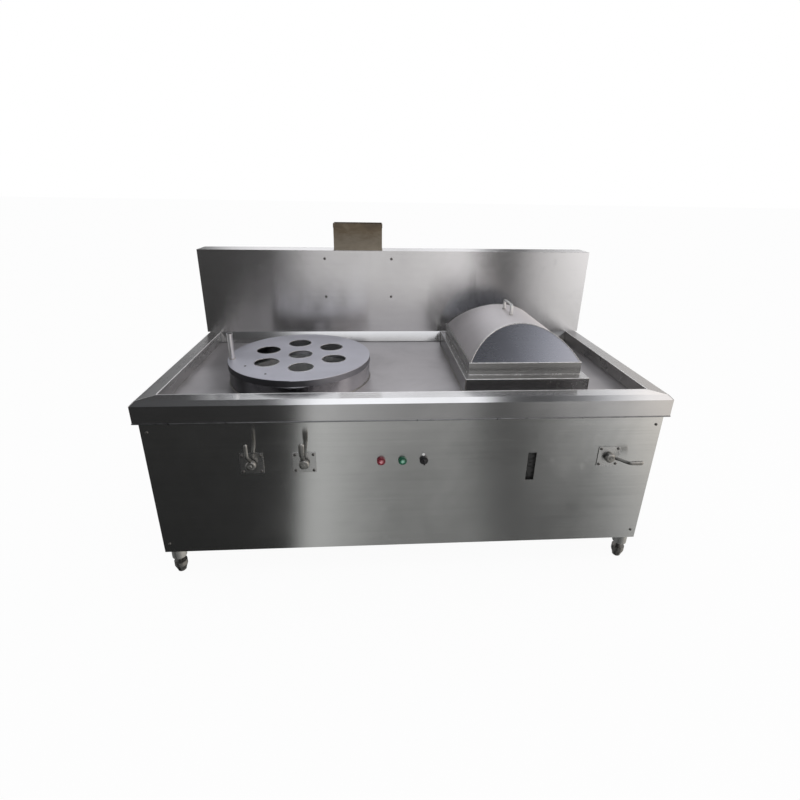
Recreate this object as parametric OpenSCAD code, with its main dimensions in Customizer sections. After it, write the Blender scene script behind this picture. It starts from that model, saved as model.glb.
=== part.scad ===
// Two-station gas steam range in sheet steel. On the left a round steam drum with a
// seven-hole plate stands over a boiler pot. On the right an arched lift-off lid covers
// a tray steamer over a water trough. A hollow splash at the back is the flue.
// Millimetres, +X to the right, +Y to the back, +Z up. The origin lies on the floor,
// in the middle of the space the range takes up.

/* [Table] */
// Length over the rim
length = 1800; // [1760:10:2200]
// Depth from the rim's front face to the back of the splash
depth = 900; // [880:10:1100]
// Height of the rim above the floor
rim_z = 720; // [690:5:850]
// Depth of the deck below the rim
deck_drop = 49; // [35:1:60]
// Width of the raised rim
rim_w = 62; // [52:1:68]
// Width of the bevel on the rim's outer edge
rim_bevel = 14.5; // [8:0.5:20]
// Height of the rim's apron, from the top of the rim down
apron_h = 77; // [66:1:95]
// Thickness of the sheet metal
sheet = 1.5; // [1:0.1:2]
// Set-back of the panels behind the rim
panel_inset = 13; // [8:1:18]
// Height of the panels' lower edge above the floor
panel_z = 112; // [104:1:140]
// Length of panel that is tucked up behind the apron
panel_tuck = 20; // [8:1:24]
// Set-back of the rear panel from the back of the splash
rear_inset = 40; // [30:1:60]
// Gap left between the deck's edge and the panels
deck_edge_gap = 20; // [14:1:24]

/* [Legs and feet] */
// Outside diameter of a leg
leg_d = 51; // [42:1:60]
// Wall of a leg
leg_wall = 2; // [1.5:0.1:3]
// Gap between a leg and the panels
leg_inset = 7.5; // [6.5:0.5:20]
// Height of a leg's lower end above the floor
leg_end_z = 69; // [67:1:90]
// Height of the threaded plug in a leg's lower end
leg_plug_h = 24; // [15:1:40]
// Diameter of a levelling foot's body
foot_d = 46; // [36:1:50]
// Height of a levelling foot's body
foot_h = 46; // [30:1:46]
// Diameter of the foot where it meets the floor
foot_tip_d = 30; // [20:1:34]
// Height of the foot's narrow pad
foot_pad_h = 5; // [3:0.5:8]
// Height at which a foot reaches its full diameter
foot_taper_h = 28; // [20:1:29]
// Diameter of a foot's stem
foot_stem_d = 16; // [12:1:20]
// Length of stem inside the leg
foot_stem_in = 42; // [30:1:60]

/* [Fits] */
// Radial clearance of a turning or sliding fit
fit = 0.05; // [0.02:0.01:0.09]
// Radial play around a loose or fixed piece in its hole
play = 0.4; // [0.3:0.05:0.6]

/* [Splash and flue] */
// Height of the splash above the rim
splash_h = 380; // [300:5:500]
// Depth of the splash box
splash_depth = 113; // [112:1:140]
// Set-in of the splash from the table's ends
splash_gap = 2; // [0.5:0.5:8]
// Place of the flue's middle along the table
flue_x = -183; // [-300:1:300]
// Width of the flue outlet
flue_w = 217; // [160:1:240]
// Depth of the flue outlet
flue_d = 100; // [70:1:108]
// Height of the flue outlet above the splash
flue_h = 117; // [60:1:200]
// Height of the folded band round the flue's mouth
flue_band_h = 18; // [8:1:30]
// Thickness of the folded band
flue_band_t = 1.2; // [0.6:0.1:2]
// Distance between the two columns of rivets in the splash
rivet_span = 304; // [290:1:360]
// Distance of the upper rivets below the top of the splash
rivet_top = 36; // [25:1:60]
// Distance between the upper and lower rivets
rivet_drop = 174; // [100:1:220]
// Diameter of a rivet's head
rivet_head_d = 12; // [8:0.5:16]
// Height of a rivet's head
rivet_head_h = 2.4; // [1.5:0.1:4]
// Diameter of a rivet's shank
rivet_shank_d = 4; // [3:0.5:6]
// Width of the flange that each riser plate is riveted by
riser_flange_w = 26; // [20:1:34]

/* [Steam drum] */
// Distance of the drum's axis to the left of the table's middle
drum_inset = 404; // [380:1:430]
// Distance of the drum's front edge behind the rim's front face
drum_setback = 83; // [75:1:110]
// Diameter of the drum's plate
drum_d = 540; // [500:1:560]
// Height of the drum's plate above the deck
drum_h = 85; // [60:1:110]
// Thickness of the steam plate
plate_t = 3; // [2:0.5:4]
// Height of the plate's turned-down lip
plate_lip_h = 24; // [12:1:40]
// Radius of the plate's edge
plate_edge_r = 2.5; // [1:0.5:3]
// Diameter of a steam hole
steam_hole_d = 90; // [60:1:100]
// Radius of the ring of steam holes
steam_ring_r = 143; // [130:1:155]
// Number of steam holes in the ring
steam_ring_count = 6; // [4:1:6]
// Turn of the ring of steam holes, in degrees from a hole at the back
steam_ring_turn = 8; // [0:1:45]
// Inside diameter of the boiler pot
pot_d = 456; // [400:1:460]
// Depth of the boiler pot below the deck
pot_depth = 235; // [180:1:260]
// Wall of the boiler pot
pot_t = 2; // [1.5:0.1:3]
// Width of the pot's flange on the deck
pot_flange_w = 14; // [8:1:18]
// Outside diameter of the vent pipe
vent_d = 20; // [18:1:26]
// Wall of the vent pipe
vent_wall = 1.5; // [1:0.1:2]
// Height of the vent pipe above the plate
vent_h = 99; // [60:1:150]
// Height of the band round the vent pipe's mouth
vent_band_h = 6; // [4:1:12]
// Distance of the vent pipe's axis from the plate's edge
vent_inset = 17; // [16:1:45]
// Direction of the vent pipe from the drum's axis, in degrees from +X
vent_angle = 190; // [150:1:209]

/* [Tray steamer] */
// Distance of the tray steamer's middle to the right of the table's middle
tray_inset = 430; // [420:1:460]
// Distance of the tray steamer's middle behind the middle of the open deck
tray_setback = 6.5; // [-12:0.5:18]
// Width of the tray frame
frame_w = 450; // [440:1:480]
// Depth of the tray frame
frame_d = 604; // [594:1:640]
// Height of the tray frame above the deck
frame_h = 65; // [40:1:90]
// Width of the frame's ledge at the sides
ledge_side = 25; // [20:1:30]
// Width of the frame's ledge at the front and back
ledge_end = 48; // [43:1:53]
// Depth of the water trough below the deck
trough_depth = 200; // [120:1:220]
// Width of the trough's flange on the deck
trough_flange_w = 14; // [8:1:20]
// Thickness of the steam grid
grid_t = 2; // [1.5:0.5:4]
// Diameter of a hole in the steam grid
grid_hole_d = 26; // [16:1:30]
// Distance between holes in the steam grid
grid_pitch = 42; // [38:1:60]
// Width of the lid's seat on the frame's ledge
lid_seat = 9.5; // [5:0.5:14]
// Height of the lid's skirt
skirt_h = 47; // [30:1:70]
// Rise of the lid's arch above the skirt
lid_rise = 118; // [90:1:150]
// Lean of the lid's end plates towards its middle, from the skirt up to the crown
end_lean = 104; // [60:1:125]
// Set-in of the arch from the sides of the skirt
arch_inset = 6; // [3:0.5:10]
// Width of the skirt's inward flange that the arch stands on
skirt_flange_w = 18; // [14:1:24]
// Length of the lid's handle
handle_len = 105; // [80:1:160]
// Height of the handle above the lid
handle_h = 42; // [30:1:60]
// Width of the handle's bar
handle_w = 12; // [8:1:25]
// Thickness of the handle's bar
handle_t = 6; // [4:0.5:8]
// Place of the handle's middle behind the lid's middle
handle_shift = 19; // [-60:1:55]

/* [Controls] */
// Height of the control axes above the floor
control_z = 482; // [470:1:520]
// Place of the left pilot valve from the drum's axis
pilot_valve_dx = -136; // [-145:1:-120]
// Place of the left main valve from the drum's axis
main_valve_dx = 42; // [30:1:60]
// Distance of the right valve from the table's right end
right_valve_dx = 185; // [165:1:200]
// Side of a square valve plate
valve_plate_w = 78; // [60:1:90]
// Thickness of a valve plate
valve_plate_t = 3; // [2:0.5:4]
// Distance between the screws of a valve plate
valve_screw_pitch = 62; // [50:1:64]
// Diameter of a valve's spindle
spindle_d = 14; // [10:1:18]
// Length of spindle behind the panel's face
spindle_in = 46; // [30:1:60]
// Distance from the panel to a lever's hub
hub_gap = 9; // [8:0.5:12]
// Length of a lever's hub
hub_len = 15; // [10:1:18]
// Diameter of a lever's hub
hub_d = 39; // [30:1:44]
// Length of a lever from its axis to its tip
lever_len = 103; // [85:1:120]
// Distance from the panel to the outermost face of a lever
lever_reach = 57; // [46:1:70]
// Distance from a lever's axis to its bend
lever_bend = 14; // [8:1:18]
// Width of a lever's bar
lever_w = 16; // [12:1:20]
// Width of a lever's round tip
lever_tip_w = 24; // [20:1:30]
// Thickness of a lever's bar
lever_t = 8; // [5:0.5:10]
// Diameter of a gas valve's body
valve_body_d = 40; // [34:1:44]
// Distance of a valve's outlet behind the panel
valve_port_y = 32; // [26:1:40]
// Length of a valve's outlet from the valve's axis
valve_port_len = 30; // [26:1:36]
// Diameter of a valve's outlet
valve_port_d = 22; // [19:1:26]
// Distance from a valve's axis down to its joint with the manifold
valve_foot_drop = 60; // [40:1:80]
// Thickness of the collar where a valve meets the manifold
valve_foot_wall = 2; // [1:0.5:4]
// Place of the stop button along the table
button_x = -99; // [-102:1:-70]
// Distance between the buttons
button_pitch = 74.5; // [60:0.5:78]
// Outside diameter of a button's bezel
bezel_d = 29.5; // [27:0.5:34]
// Diameter of a button's cap
cap_d = 21; // [18:0.5:22]
// Height of a bezel in front of the panel
bezel_h = 8; // [6:0.5:12]
// Travel of a button
button_travel = 4; // [2:0.5:5]
// Height of a cap in front of its bezel
cap_proud = 5; // [4:0.5:8]
// Depth of a cap behind the panel's face
cap_in = 3; // [1:0.5:5]
// Diameter of the nut behind the panel
nut_d = 30; // [28:0.5:34]
// Thickness of the nut behind the panel
nut_h = 8; // [6:0.5:12]
// Width of a button's contact block
block_w = 30; // [26:1:34]
// Height of a button's contact block
block_h = 44; // [36:1:60]
// Distance of a contact block's end behind the panel's face
block_end = 48; // [40:1:60]
// Width of the selector's bar
knob_bar_w = 7; // [5:0.5:10]
// Height of the selector's bar in front of its cap
knob_bar_h = 11; // [6:0.5:16]
// Diameter of a button's or selector's stem
stem_d = 8; // [6:0.5:10]
// Width of the sight slot
slot_w = 30; // [20:1:40]
// Height of the sight slot
slot_h = 113; // [60:1:120]
// Place of the sight slot from the tray steamer's middle
slot_dx = 7; // [-40:1:40]
// Distance of the slot's middle below the control axes
slot_drop = 37; // [30:1:45]
// Diameter of a panel screw's head
screw_head_d = 10; // [8:0.5:12]
// Height of a panel screw's head
screw_head_h = 3; // [2:0.5:4]
// Length of a screw's shank behind the panel's face
screw_len = 8; // [5:1:12]
// Diameter of a panel screw's shank
screw_d = 5; // [4:0.5:6]
// Distance of the panel screws from the panel's ends
screw_edge = 21; // [15:1:26]
// Distance of the panel screws from the panel's lower edge and the apron
screw_margin = 37; // [25:1:60]
// Distance from the outer controls to the ends of the control box
box_margin = 45; // [30:1:60]
// Distance of the control box's back behind the panel's face
box_depth = 70; // [64:1:90]
// Height of the control box
box_h = 104; // [80:1:130]

/* [Gas, air and fire] */
// Height of the base shelf above the panels' lower edge
shelf_rise = 15; // [8:1:30]
// Thickness of the base shelf
shelf_t = 2; // [1.5:0.5:4]
// Gap between a pot or trough and its firebox
fire_gap = 18; // [14:1:22]
// Wall of a firebox
firebox_t = 3; // [2:0.5:4]
// Outside diameter of the gas manifold
manifold_d = 27; // [22:1:30]
// Wall of the gas manifold
gas_wall = 3; // [2:0.5:5]
// Distance of the manifold's axis behind the panel
manifold_y = 62; // [60:1:64]
// Distance of the manifold's axis below the control axes
manifold_drop = 112; // [105:1:118]
// Outside diameter of a burner's gas pipe
gas_pipe_d = 16; // [12:1:18]
// Height of the burners' gas pipes above the floor
gas_pipe_z = 230; // [220:1:260]
// Height of the burners above their gas pipes
burner_rise = 40; // [36:1:50]
// Diameter of a burner's tube
burner_tube_d = 44; // [36:1:50]
// Diameter of the tube across a burner
burner_cross_d = 31; // [24:1:34]
// Diameter of a burner's legs
burner_leg_d = 14; // [10:1:18]
// Wall of the boss that takes a burner's gas pipe
jet_boss_wall = 6; // [4:0.5:8]
// Radius of the left burner's ring
left_burner_r = 110; // [90:1:120]
// Length of the right burner's tubes
right_burner_len = 340; // [280:1:400]
// Distance between the right burner's tubes
right_burner_pitch = 110; // [90:1:120]
// Distance of the right burner's rear legs from its tubes' ends
right_leg_inset = 34; // [20:1:60]
// Outside diameter of the gas inlet's spigot
inlet_d = 34; // [28:1:40]
// Diameter of the blower's housing
blower_d = 190; // [160:1:200]
// Width of the blower's housing
blower_w = 90; // [70:1:110]
// Height of the blower's axis above the shelf
blower_rise = 125; // [115:1:140]
// Wall of the blower's housing
blower_wall = 2; // [1.5:0.1:3]
// Diameter of the blower's air inlet
blower_inlet_d = 95; // [70:1:110]
// Length of the blower's outlets past its housing
blower_stub_len = 10; // [6:1:16]
// Width of the blower's feet
blower_foot_w = 16; // [10:1:24]
// Gap between the impeller and its housing
wheel_gap = 8; // [4:1:12]
// Thickness of the impeller's disc and blades
blade_t = 2; // [1.5:0.5:4]
// Height of the impeller's blades
blade_h = 26; // [16:1:34]
// Diameter of the impeller's hub
impeller_hub_d = 30; // [24:1:40]
// Diameter of the blower's motor
motor_d = 110; // [90:1:120]
// Length of the blower's motor
motor_len = 130; // [110:1:160]
// Width of the motor's foot
motor_foot_w = 66; // [50:1:80]
// Diameter of the blower's shaft
shaft_d = 10; // [8:1:14]
// Number of blades on the blower's impeller
blade_count = 12; // [8:1:16]
// Outside diameter of an air pipe
air_pipe_d = 50; // [40:1:60]
// Height of the flue neck behind each firebox
neck_h = 84; // [60:1:90]
// Width of the flue neck behind each firebox
neck_w = 120; // [90:1:150]
// Distance of the flue necks below the deck
neck_drop = 12; // [6:1:20]
// Distance of the flue collector's front before the splash
collector_front = 28; // [22:1:36]
// Gap between the flue collector and the rear panel
collector_gap = 6; // [3:1:10]
// Distance of the flue collector's floor below the flue necks
collector_drop = 12; // [6:1:20]
// Distance of the flue collector's ends past the flue necks
collector_margin = 20; // [10:1:40]
// Distance of the deck's flue port from the flue's walls
flue_port_margin = 6; // [4:1:10]
// Distance that the firebox's port is wider than the sight slot, on each side
port_margin = 5; // [3:1:8]

/* [Supply gland] */
// Height of the gland above the blower's axis
gland_rise = 116; // [80:1:160]
// Diameter of the gland's thread
gland_d = 20; // [16:1:25]
// Diameter of the gland's bore
gland_bore_d = 11; // [6:1:12]
// Diameter of the gland's nut and flange
gland_nut_d = 27; // [27:1:34]
// Thickness of the gland's nut and flange
gland_nut_h = 6; // [4:1:8]
// Length of the gland behind the rear panel
gland_len = 22; // [14:1:28]

/* [Hidden] */
$fn = 64;

// Overlap of a cutter past the faces it cuts
eps = 1;
// Share of a sheet's thickness that a 45 degree fold moves its inner corner by
fold = tan(22.5);

// Table levels and faces
lever_out = lever_reach - panel_inset;
rim_front_y = -(depth + lever_out) / 2 + lever_out;
back_y = (depth + lever_out) / 2;
panel_y = rim_front_y + panel_inset;
panel_in_y = panel_y + sheet;
rear_y = back_y - rear_inset;
rear_in_y = rear_y - sheet;
panel_half = length / 2 - panel_inset;
rim_in_half = length / 2 - rim_w;
rim_in_y = rim_front_y + rim_w;
deck_z = rim_z - deck_drop;
deck_under = deck_z - sheet;
apron_z = rim_z - apron_h;
panel_top = apron_z + panel_tuck;
deck_half = panel_half - sheet - deck_edge_gap;
deck_front_y = panel_in_y + deck_edge_gap;
shelf_z = panel_z + shelf_rise;
shelf_top = shelf_z + shelf_t;

// Legs
leg_axis_in = leg_inset + leg_d / 2;
leg_xs = [-panel_half + leg_axis_in, panel_half - leg_axis_in];
leg_ys = [panel_y + leg_axis_in, rear_y - leg_axis_in];

// Splash and flue
splash_y = back_y - splash_depth;
splash_in_y = splash_y + sheet;
splash_back_in_y = back_y - sheet;
splash_half = length / 2 - splash_gap;
splash_top_z = rim_z + splash_h;
riser_half = rivet_span / 2 - riser_flange_w / 2;
rivet_zs = [splash_top_z - rivet_top, splash_top_z - rivet_top - rivet_drop];
rivet_hole_d = rivet_shank_d + 2 * fit;

// Steam drum
drum_x = -drum_inset;
drum_top = deck_z + drum_h;
pot_r = pot_d / 2;
pot_out_r = pot_r + pot_t;
pot_flange_r = pot_out_r + pot_flange_w;
drum_r = max(drum_d / 2, pot_flange_r + 2 * (sheet + play));
drum_wall_r = drum_r - sheet - play;
left_fire_r = pot_out_r + fire_gap;
left_fire_out = left_fire_r + firebox_t;
valve_body_len = manifold_y + manifold_d / 2;
valve_fire_gap = 2 * sheet;
drum_by_rim_y = rim_front_y + drum_setback + drum_r;
drum_by_valves_y = panel_y + valve_body_len + valve_fire_gap + left_fire_out;
drum_y = max(drum_by_rim_y, drum_by_valves_y);
vent_r = drum_r - vent_inset;
vent_x = drum_x + vent_r * cos(vent_angle);
vent_y = drum_y + vent_r * sin(vent_angle);
vent_top = drum_top + vent_h;

// Tray steamer
tray_x = tray_inset;
tray_y = (rim_in_y + splash_y) / 2 + tray_setback;
frame_top = deck_z + frame_h;
frame_in_w = frame_w - 2 * ledge_side;
frame_in_d = frame_d - 2 * ledge_end;
trough_flange_out_w = frame_in_w - 2 * sheet - 2 * play;
trough_flange_out_d = frame_in_d - 2 * sheet - 2 * play;
trough_out_w = trough_flange_out_w - 2 * trough_flange_w;
trough_out_d = trough_flange_out_d - 2 * trough_flange_w;
grid_w = trough_flange_out_w - 2 * play;
grid_d = trough_flange_out_d - 2 * play;
grid_z = deck_z + sheet;
right_fire_w = trough_out_w + 2 * fire_gap;
right_fire_d = trough_out_d + 2 * fire_gap;
right_fire_front_y = tray_y - right_fire_d / 2 - firebox_t;
right_fire_left_x = tray_x - right_fire_w / 2 - firebox_t;

// Lid
skirt_top = frame_top + skirt_h;
lid_w = frame_in_w - 2 * sheet + 2 * lid_seat;
lid_d = frame_in_d - 2 * sheet + 2 * lid_seat;
arch_w = lid_w - 2 * arch_inset;
lid_front_y = tray_y - lid_d / 2;
lid_back_y = tray_y + lid_d / 2;
crown_z = skirt_top + lid_rise;
end_slope = end_lean / lid_rise;
end_depth = sheet * sqrt(1 + end_slope * end_slope);
handle_y = tray_y + handle_shift;

// Controls
pilot_x = drum_x + pilot_valve_dx;
main_x = drum_x + main_valve_dx;
right_x = length / 2 - right_valve_dx;
valve_xs = [pilot_x, main_x, right_x];
hub_front = hub_gap + hub_len;
lever_mid = hub_gap + hub_len / 2;
lever_far = lever_reach - lever_t / 2;
lever_rise = lever_far - lever_mid;
valve_bore_len = spindle_in + eps;
valve_foot_d = valve_port_d + 2 * valve_foot_wall;
selector_x = button_x + 2 * button_pitch;
button_xs = [button_x, button_x + button_pitch];
cap_bore_in = cap_in + button_travel + eps;
stem_in = block_end - button_travel - 2 * eps;
slot_x = tray_x + slot_dx;
slot_z = control_z - slot_drop;
screw_hole_d = screw_d + 2 * fit;
panel_screw_xs = [-panel_half + screw_edge, panel_half - screw_edge];
panel_screw_zs = [panel_z + screw_margin, apron_z - screw_margin];

// Gas, air and fire
manifold_z = control_z - manifold_drop;
manifold_axis_y = panel_y + manifold_y;
manifold_left_x = pilot_x - valve_body_d;
manifold_right_x = right_x + valve_body_d + manifold_d / 2;
pipe_y = panel_y + valve_port_y;
pipe_drop_dx = valve_port_len + gas_pipe_d;
burner_z = gas_pipe_z + burner_rise;
left_jet_y = drum_y - left_burner_r;
jet_boss_d = gas_pipe_d + 2 * jet_boss_wall;
pipe_hole_d = gas_pipe_d + 2 * play;
right_jet_y = tray_y - right_burner_len / 4;
blower_x = (drum_x + left_fire_out + right_fire_left_x) / 2;
blower_y = drum_y;
blower_z = shelf_top + blower_rise;
housing_in_d = blower_d - 2 * blower_wall;
blower_stub = blower_d / 2 + blower_stub_len;
neck_top = deck_under - neck_drop;
neck_z = neck_top - neck_h;
collector_y = splash_y - collector_front;
collector_back = rear_in_y - collector_gap;
collector_z = neck_z - collector_drop;
collector_left = drum_x - neck_w / 2 - collector_margin;
collector_right = tray_x + neck_w / 2 + collector_margin;
flue_port_y = [splash_in_y + flue_port_margin, collector_back - sheet - flue_port_margin];
gland_z = blower_z + gland_rise;

// Shared shapes

// A box from one corner to the other
module block(low, high) {
    translate(low)
        cube(high - low);
}

// A box of width w and depth d, centred on x and y
module slab(x, y, w, d, z0, z1) {
    block([x - w / 2, y - d / 2, z0], [x + w / 2, y + d / 2, z1]);
}

// A cylinder along +Y from y0 to y1
module rod_y(x, z, d, y0, y1) {
    translate([x, y0, z])
        rotate([-90, 0, 0])
            cylinder(d = d, h = y1 - y0);
}

// A cylinder along +X from x0 to x1
module rod_x(y, z, d, x0, x1) {
    translate([x0, y, z])
        rotate([0, 90, 0])
            cylinder(d = d, h = x1 - x0);
}

// An upright cylinder from z0 to z1
module rod_z(x, y, d, z0, z1) {
    translate([x, y, z0])
        cylinder(d = d, h = z1 - z0);
}

// A straight pipe between two points that differ along one axis only
module pipe_leg(a, b, d) {
    if (a.x != b.x)
        rod_x(a.y, a.z, d, min(a.x, b.x), max(a.x, b.x));
    else if (a.y != b.y)
        rod_y(a.x, a.z, d, min(a.y, b.y), max(a.y, b.y));
    else
        rod_z(a.x, a.y, d, min(a.z, b.z), max(a.z, b.z));
}

// A pipe that turns square corners along a list of points
module pipe_run(points, d) {
    for (i = [0 : len(points) - 2])
        pipe_leg(points[i], points[i + 1], d);
    for (i = [1 : len(points) - 2])
        translate(points[i])
            sphere(d = d);
}

// A rectangular ring of sheet, outer size w by d, centred on x and y
module sheet_ring(x, y, w, d, z0, z1, wall) {
    difference() {
        slab(x, y, w, d, z0, z1);
        slab(x, y, w - 2 * wall, d - 2 * wall, z0 - eps, z1 + eps);
    }
}

// Section of the rim: wall up from the deck, ledge, bevel, apron and a return to the panel.
// The first coordinate runs outwards from the wall's inner face.
module rim_section() {
    k = sheet * fold;
    polygon([
        [0, deck_z],
        [0, rim_z],
        [rim_w - rim_bevel, rim_z],
        [rim_w, rim_z - rim_bevel],
        [rim_w, apron_z],
        [rim_w - panel_inset, apron_z],
        [rim_w - panel_inset, apron_z + sheet],
        [rim_w - sheet, apron_z + sheet],
        [rim_w - sheet, rim_z - rim_bevel - k],
        [rim_w - rim_bevel - k, rim_z - sheet],
        [sheet, rim_z - sheet],
        [sheet, deck_z]
    ]);
}

// Flat outline of the splash: full length above the rim, between the rims below it
module splash_outline(foot_z) {
    polygon([
        [-splash_half, splash_top_z],
        [-splash_half, rim_z],
        [-rim_in_half, rim_z],
        [-rim_in_half, foot_z],
        [rim_in_half, foot_z],
        [rim_in_half, rim_z],
        [splash_half, rim_z],
        [splash_half, splash_top_z]
    ]);
}

// An upright sheet drawn in X and Z, with its front face at y
module upright_sheet(y, t) {
    translate([0, y + t, 0])
        rotate([90, 0, 0])
            linear_extrude(t)
                children();
}

// Segment of a circle standing on a chord, drawn in X and Z
module segment(chord, rise) {
    r = (chord * chord / 4 + rise * rise) / (2 * rise);
    intersection() {
        translate([0, rise - r])
            circle(r, $fn = 96);
        translate([-chord / 2, 0])
            square([chord, rise + eps]);
    }
}

// Turns its children about an upright axis through x and y
module rotate_about(x, y, angle) {
    translate([x, y, 0])
        rotate(angle)
            translate([-x, -y, 0])
                children();
}

// Screw with a flat round head in front of a face at y, its shank running back
module screw(x, y, z, shank) {
    rod_y(x, z, screw_head_d, y - screw_head_h, y);
    rod_y(x, z, screw_d, y - screw_head_h / 2, y + shank);
}

// Corner offsets of a square pattern
function square_corners(pitch) = [for (sx = [-1, 1], sz = [-1, 1]) [sx * pitch / 2, sz * pitch / 2]];

// Table

module deck() {
    color("lightgray")
        difference() {
            block([-deck_half, deck_front_y, deck_under], [deck_half, splash_back_in_y, deck_z]);
            rod_z(drum_x, drum_y, 2 * (pot_out_r + play), deck_under - eps, deck_z + eps);
            slab(tray_x, tray_y, trough_out_w + 2 * play, trough_out_d + 2 * play,
                deck_under - eps, deck_z + eps);
            block([flue_x - riser_half + sheet, flue_port_y[0], deck_under - eps],
                [flue_x + riser_half - sheet, flue_port_y[1], deck_z + eps]);
        }
}

module front_rim() {
    color("silver")
        intersection() {
            translate([-length / 2, rim_in_y, 0])
                rotate([90, 0, 90])
                    linear_extrude(length)
                        mirror([1, 0])
                            rim_section();
            linear_extrude(rim_z + eps)
                polygon([
                    [-length / 2, rim_front_y],
                    [length / 2, rim_front_y],
                    [rim_in_half, rim_in_y],
                    [-rim_in_half, rim_in_y]
                ]);
        }
}

module side_rim() {
    intersection() {
        translate([rim_in_half, back_y, 0])
            rotate([90, 0, 0])
                linear_extrude(depth)
                    rim_section();
        linear_extrude(rim_z + eps)
            polygon([
                [length / 2, rim_front_y],
                [length / 2, back_y],
                [rim_in_half, back_y],
                [rim_in_half, rim_in_y]
            ]);
    }
}

module right_rim() {
    color("silver")
        side_rim();
}

module left_rim() {
    color("silver")
        mirror([1, 0, 0])
            side_rim();
}

module front_panel() {
    color("gray")
        difference() {
            block([-panel_half, panel_y, panel_z], [panel_half, panel_in_y, panel_top]);
            for (x = valve_xs) {
                rod_y(x, control_z, spindle_d + 2 * play, panel_y - eps, panel_in_y + eps);
                for (c = square_corners(valve_screw_pitch))
                    rod_y(x + c.x, control_z + c.y, screw_hole_d, panel_y - eps, panel_in_y + eps);
            }
            for (x = concat(button_xs, [selector_x]))
                rod_y(x, control_z, cap_d + 2 * sheet + 4 * play, panel_y - eps, panel_in_y + eps);
            for (x = panel_screw_xs, z = panel_screw_zs)
                rod_y(x, z, screw_hole_d, panel_y - eps, panel_in_y + eps);
            block([slot_x - slot_w / 2, panel_y - eps, slot_z - slot_h / 2],
                [slot_x + slot_w / 2, panel_in_y + eps, slot_z + slot_h / 2]);
        }
}

module side_panel() {
    block([panel_half - sheet, panel_in_y, panel_z], [panel_half, rear_in_y, panel_top]);
}

module right_panel() {
    color("darkgray")
        side_panel();
}

module left_panel() {
    color("darkgray")
        mirror([1, 0, 0])
            side_panel();
}

module rear_panel() {
    color("darkgray")
        difference() {
            block([-panel_half, rear_in_y, panel_z], [panel_half, rear_y, deck_under]);
            rod_y(manifold_right_x, manifold_z, manifold_d + 2 * play, rear_in_y - eps, rear_y + eps);
            rod_y(blower_x, gland_z, gland_d + 2 * play, rear_in_y - eps, rear_y + eps);
        }
}

module base_shelf() {
    color("darkgray")
        difference() {
            block([-panel_half + sheet, panel_in_y, shelf_z], [panel_half - sheet, rear_in_y, shelf_top]);
            for (x = leg_xs, y = leg_ys)
                rod_z(x, y, leg_d + 2 * play, shelf_z - eps, shelf_top + eps);
        }
}

module corner_legs() {
    color("silver")
        for (x = leg_xs, y = leg_ys)
            difference() {
                rod_z(x, y, leg_d, leg_end_z, deck_under);
                rod_z(x, y, leg_d - 2 * leg_wall, leg_end_z + leg_plug_h, deck_under + eps);
                rod_z(x, y, foot_stem_d + 2 * fit, leg_end_z - eps, leg_end_z + leg_plug_h + eps);
            }
}

module foot(x, y) {
    color("dimgray")
        translate([x, y, 0])
            rotate_extrude()
                polygon([
                    [0, 0],
                    [foot_tip_d / 2 - foot_pad_h / 2, 0],
                    [foot_tip_d / 2, foot_pad_h / 2],
                    [foot_tip_d / 2, foot_pad_h],
                    [foot_d / 2, foot_taper_h],
                    [foot_d / 2, foot_h],
                    [foot_stem_d / 2, foot_h],
                    [foot_stem_d / 2, leg_end_z + foot_stem_in],
                    [0, leg_end_z + foot_stem_in]
                ]);
}

module foot_front_left() {
    foot(leg_xs[0], leg_ys[0]);
}

module foot_front_right() {
    foot(leg_xs[1], leg_ys[0]);
}

module foot_rear_left() {
    foot(leg_xs[0], leg_ys[1]);
}

module foot_rear_right() {
    foot(leg_xs[1], leg_ys[1]);
}

module panel_screws() {
    color("dimgray")
        for (x = panel_screw_xs, z = panel_screw_zs)
            screw(x, panel_y, z, screw_len);
}

// Splash and flue

module splash_front() {
    color("silver")
        difference() {
            upright_sheet(splash_y, sheet)
                splash_outline(deck_z);
            for (side = [-1, 1], z = rivet_zs)
                rod_y(flue_x + side * rivet_span / 2, z, rivet_hole_d, splash_y - eps, splash_in_y + eps);
        }
}

module splash_back() {
    color("silver")
        upright_sheet(splash_back_in_y, sheet)
            splash_outline(deck_under);
}

module splash_sides() {
    color("silver")
        for (side = [0, 1])
            mirror([side, 0, 0])
                block([splash_half - sheet, splash_in_y, rim_z],
                    [splash_half, splash_back_in_y, splash_top_z - sheet]);
}

module splash_top() {
    color("lightgray")
        difference() {
            block([-splash_half, splash_in_y, splash_top_z - sheet],
                [splash_half, splash_back_in_y, splash_top_z]);
            block([flue_x - flue_w / 2 + sheet, splash_y + sheet, splash_top_z - sheet - eps],
                [flue_x + flue_w / 2 - sheet, splash_y + flue_d - sheet, splash_top_z + eps]);
        }
}

module flue_riser() {
    flange_y = splash_in_y + sheet;
    color("dimgray")
        for (side = [0, 1])
            translate([flue_x, 0, 0])
                mirror([side, 0, 0])
                    difference() {
                        union() {
                            block([riser_half - sheet, splash_in_y, deck_z],
                                [riser_half, splash_back_in_y, splash_top_z - sheet]);
                            block([riser_half - sheet, splash_in_y, deck_z],
                                [riser_half + riser_flange_w, flange_y, splash_top_z - sheet]);
                        }
                        for (z = rivet_zs)
                            rod_y(rivet_span / 2, z, rivet_hole_d, splash_y - eps, flange_y + eps);
                    }
}

module flue_outlet() {
    top = splash_top_z + flue_h;
    mid_y = splash_y + flue_d / 2;
    color("rosybrown")
        union() {
            sheet_ring(flue_x, mid_y, flue_w, flue_d, splash_top_z, top, sheet);
            sheet_ring(flue_x, mid_y, flue_w + 2 * flue_band_t, flue_d + 2 * flue_band_t,
                top - flue_band_h, top, sheet + flue_band_t);
        }
}

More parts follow.
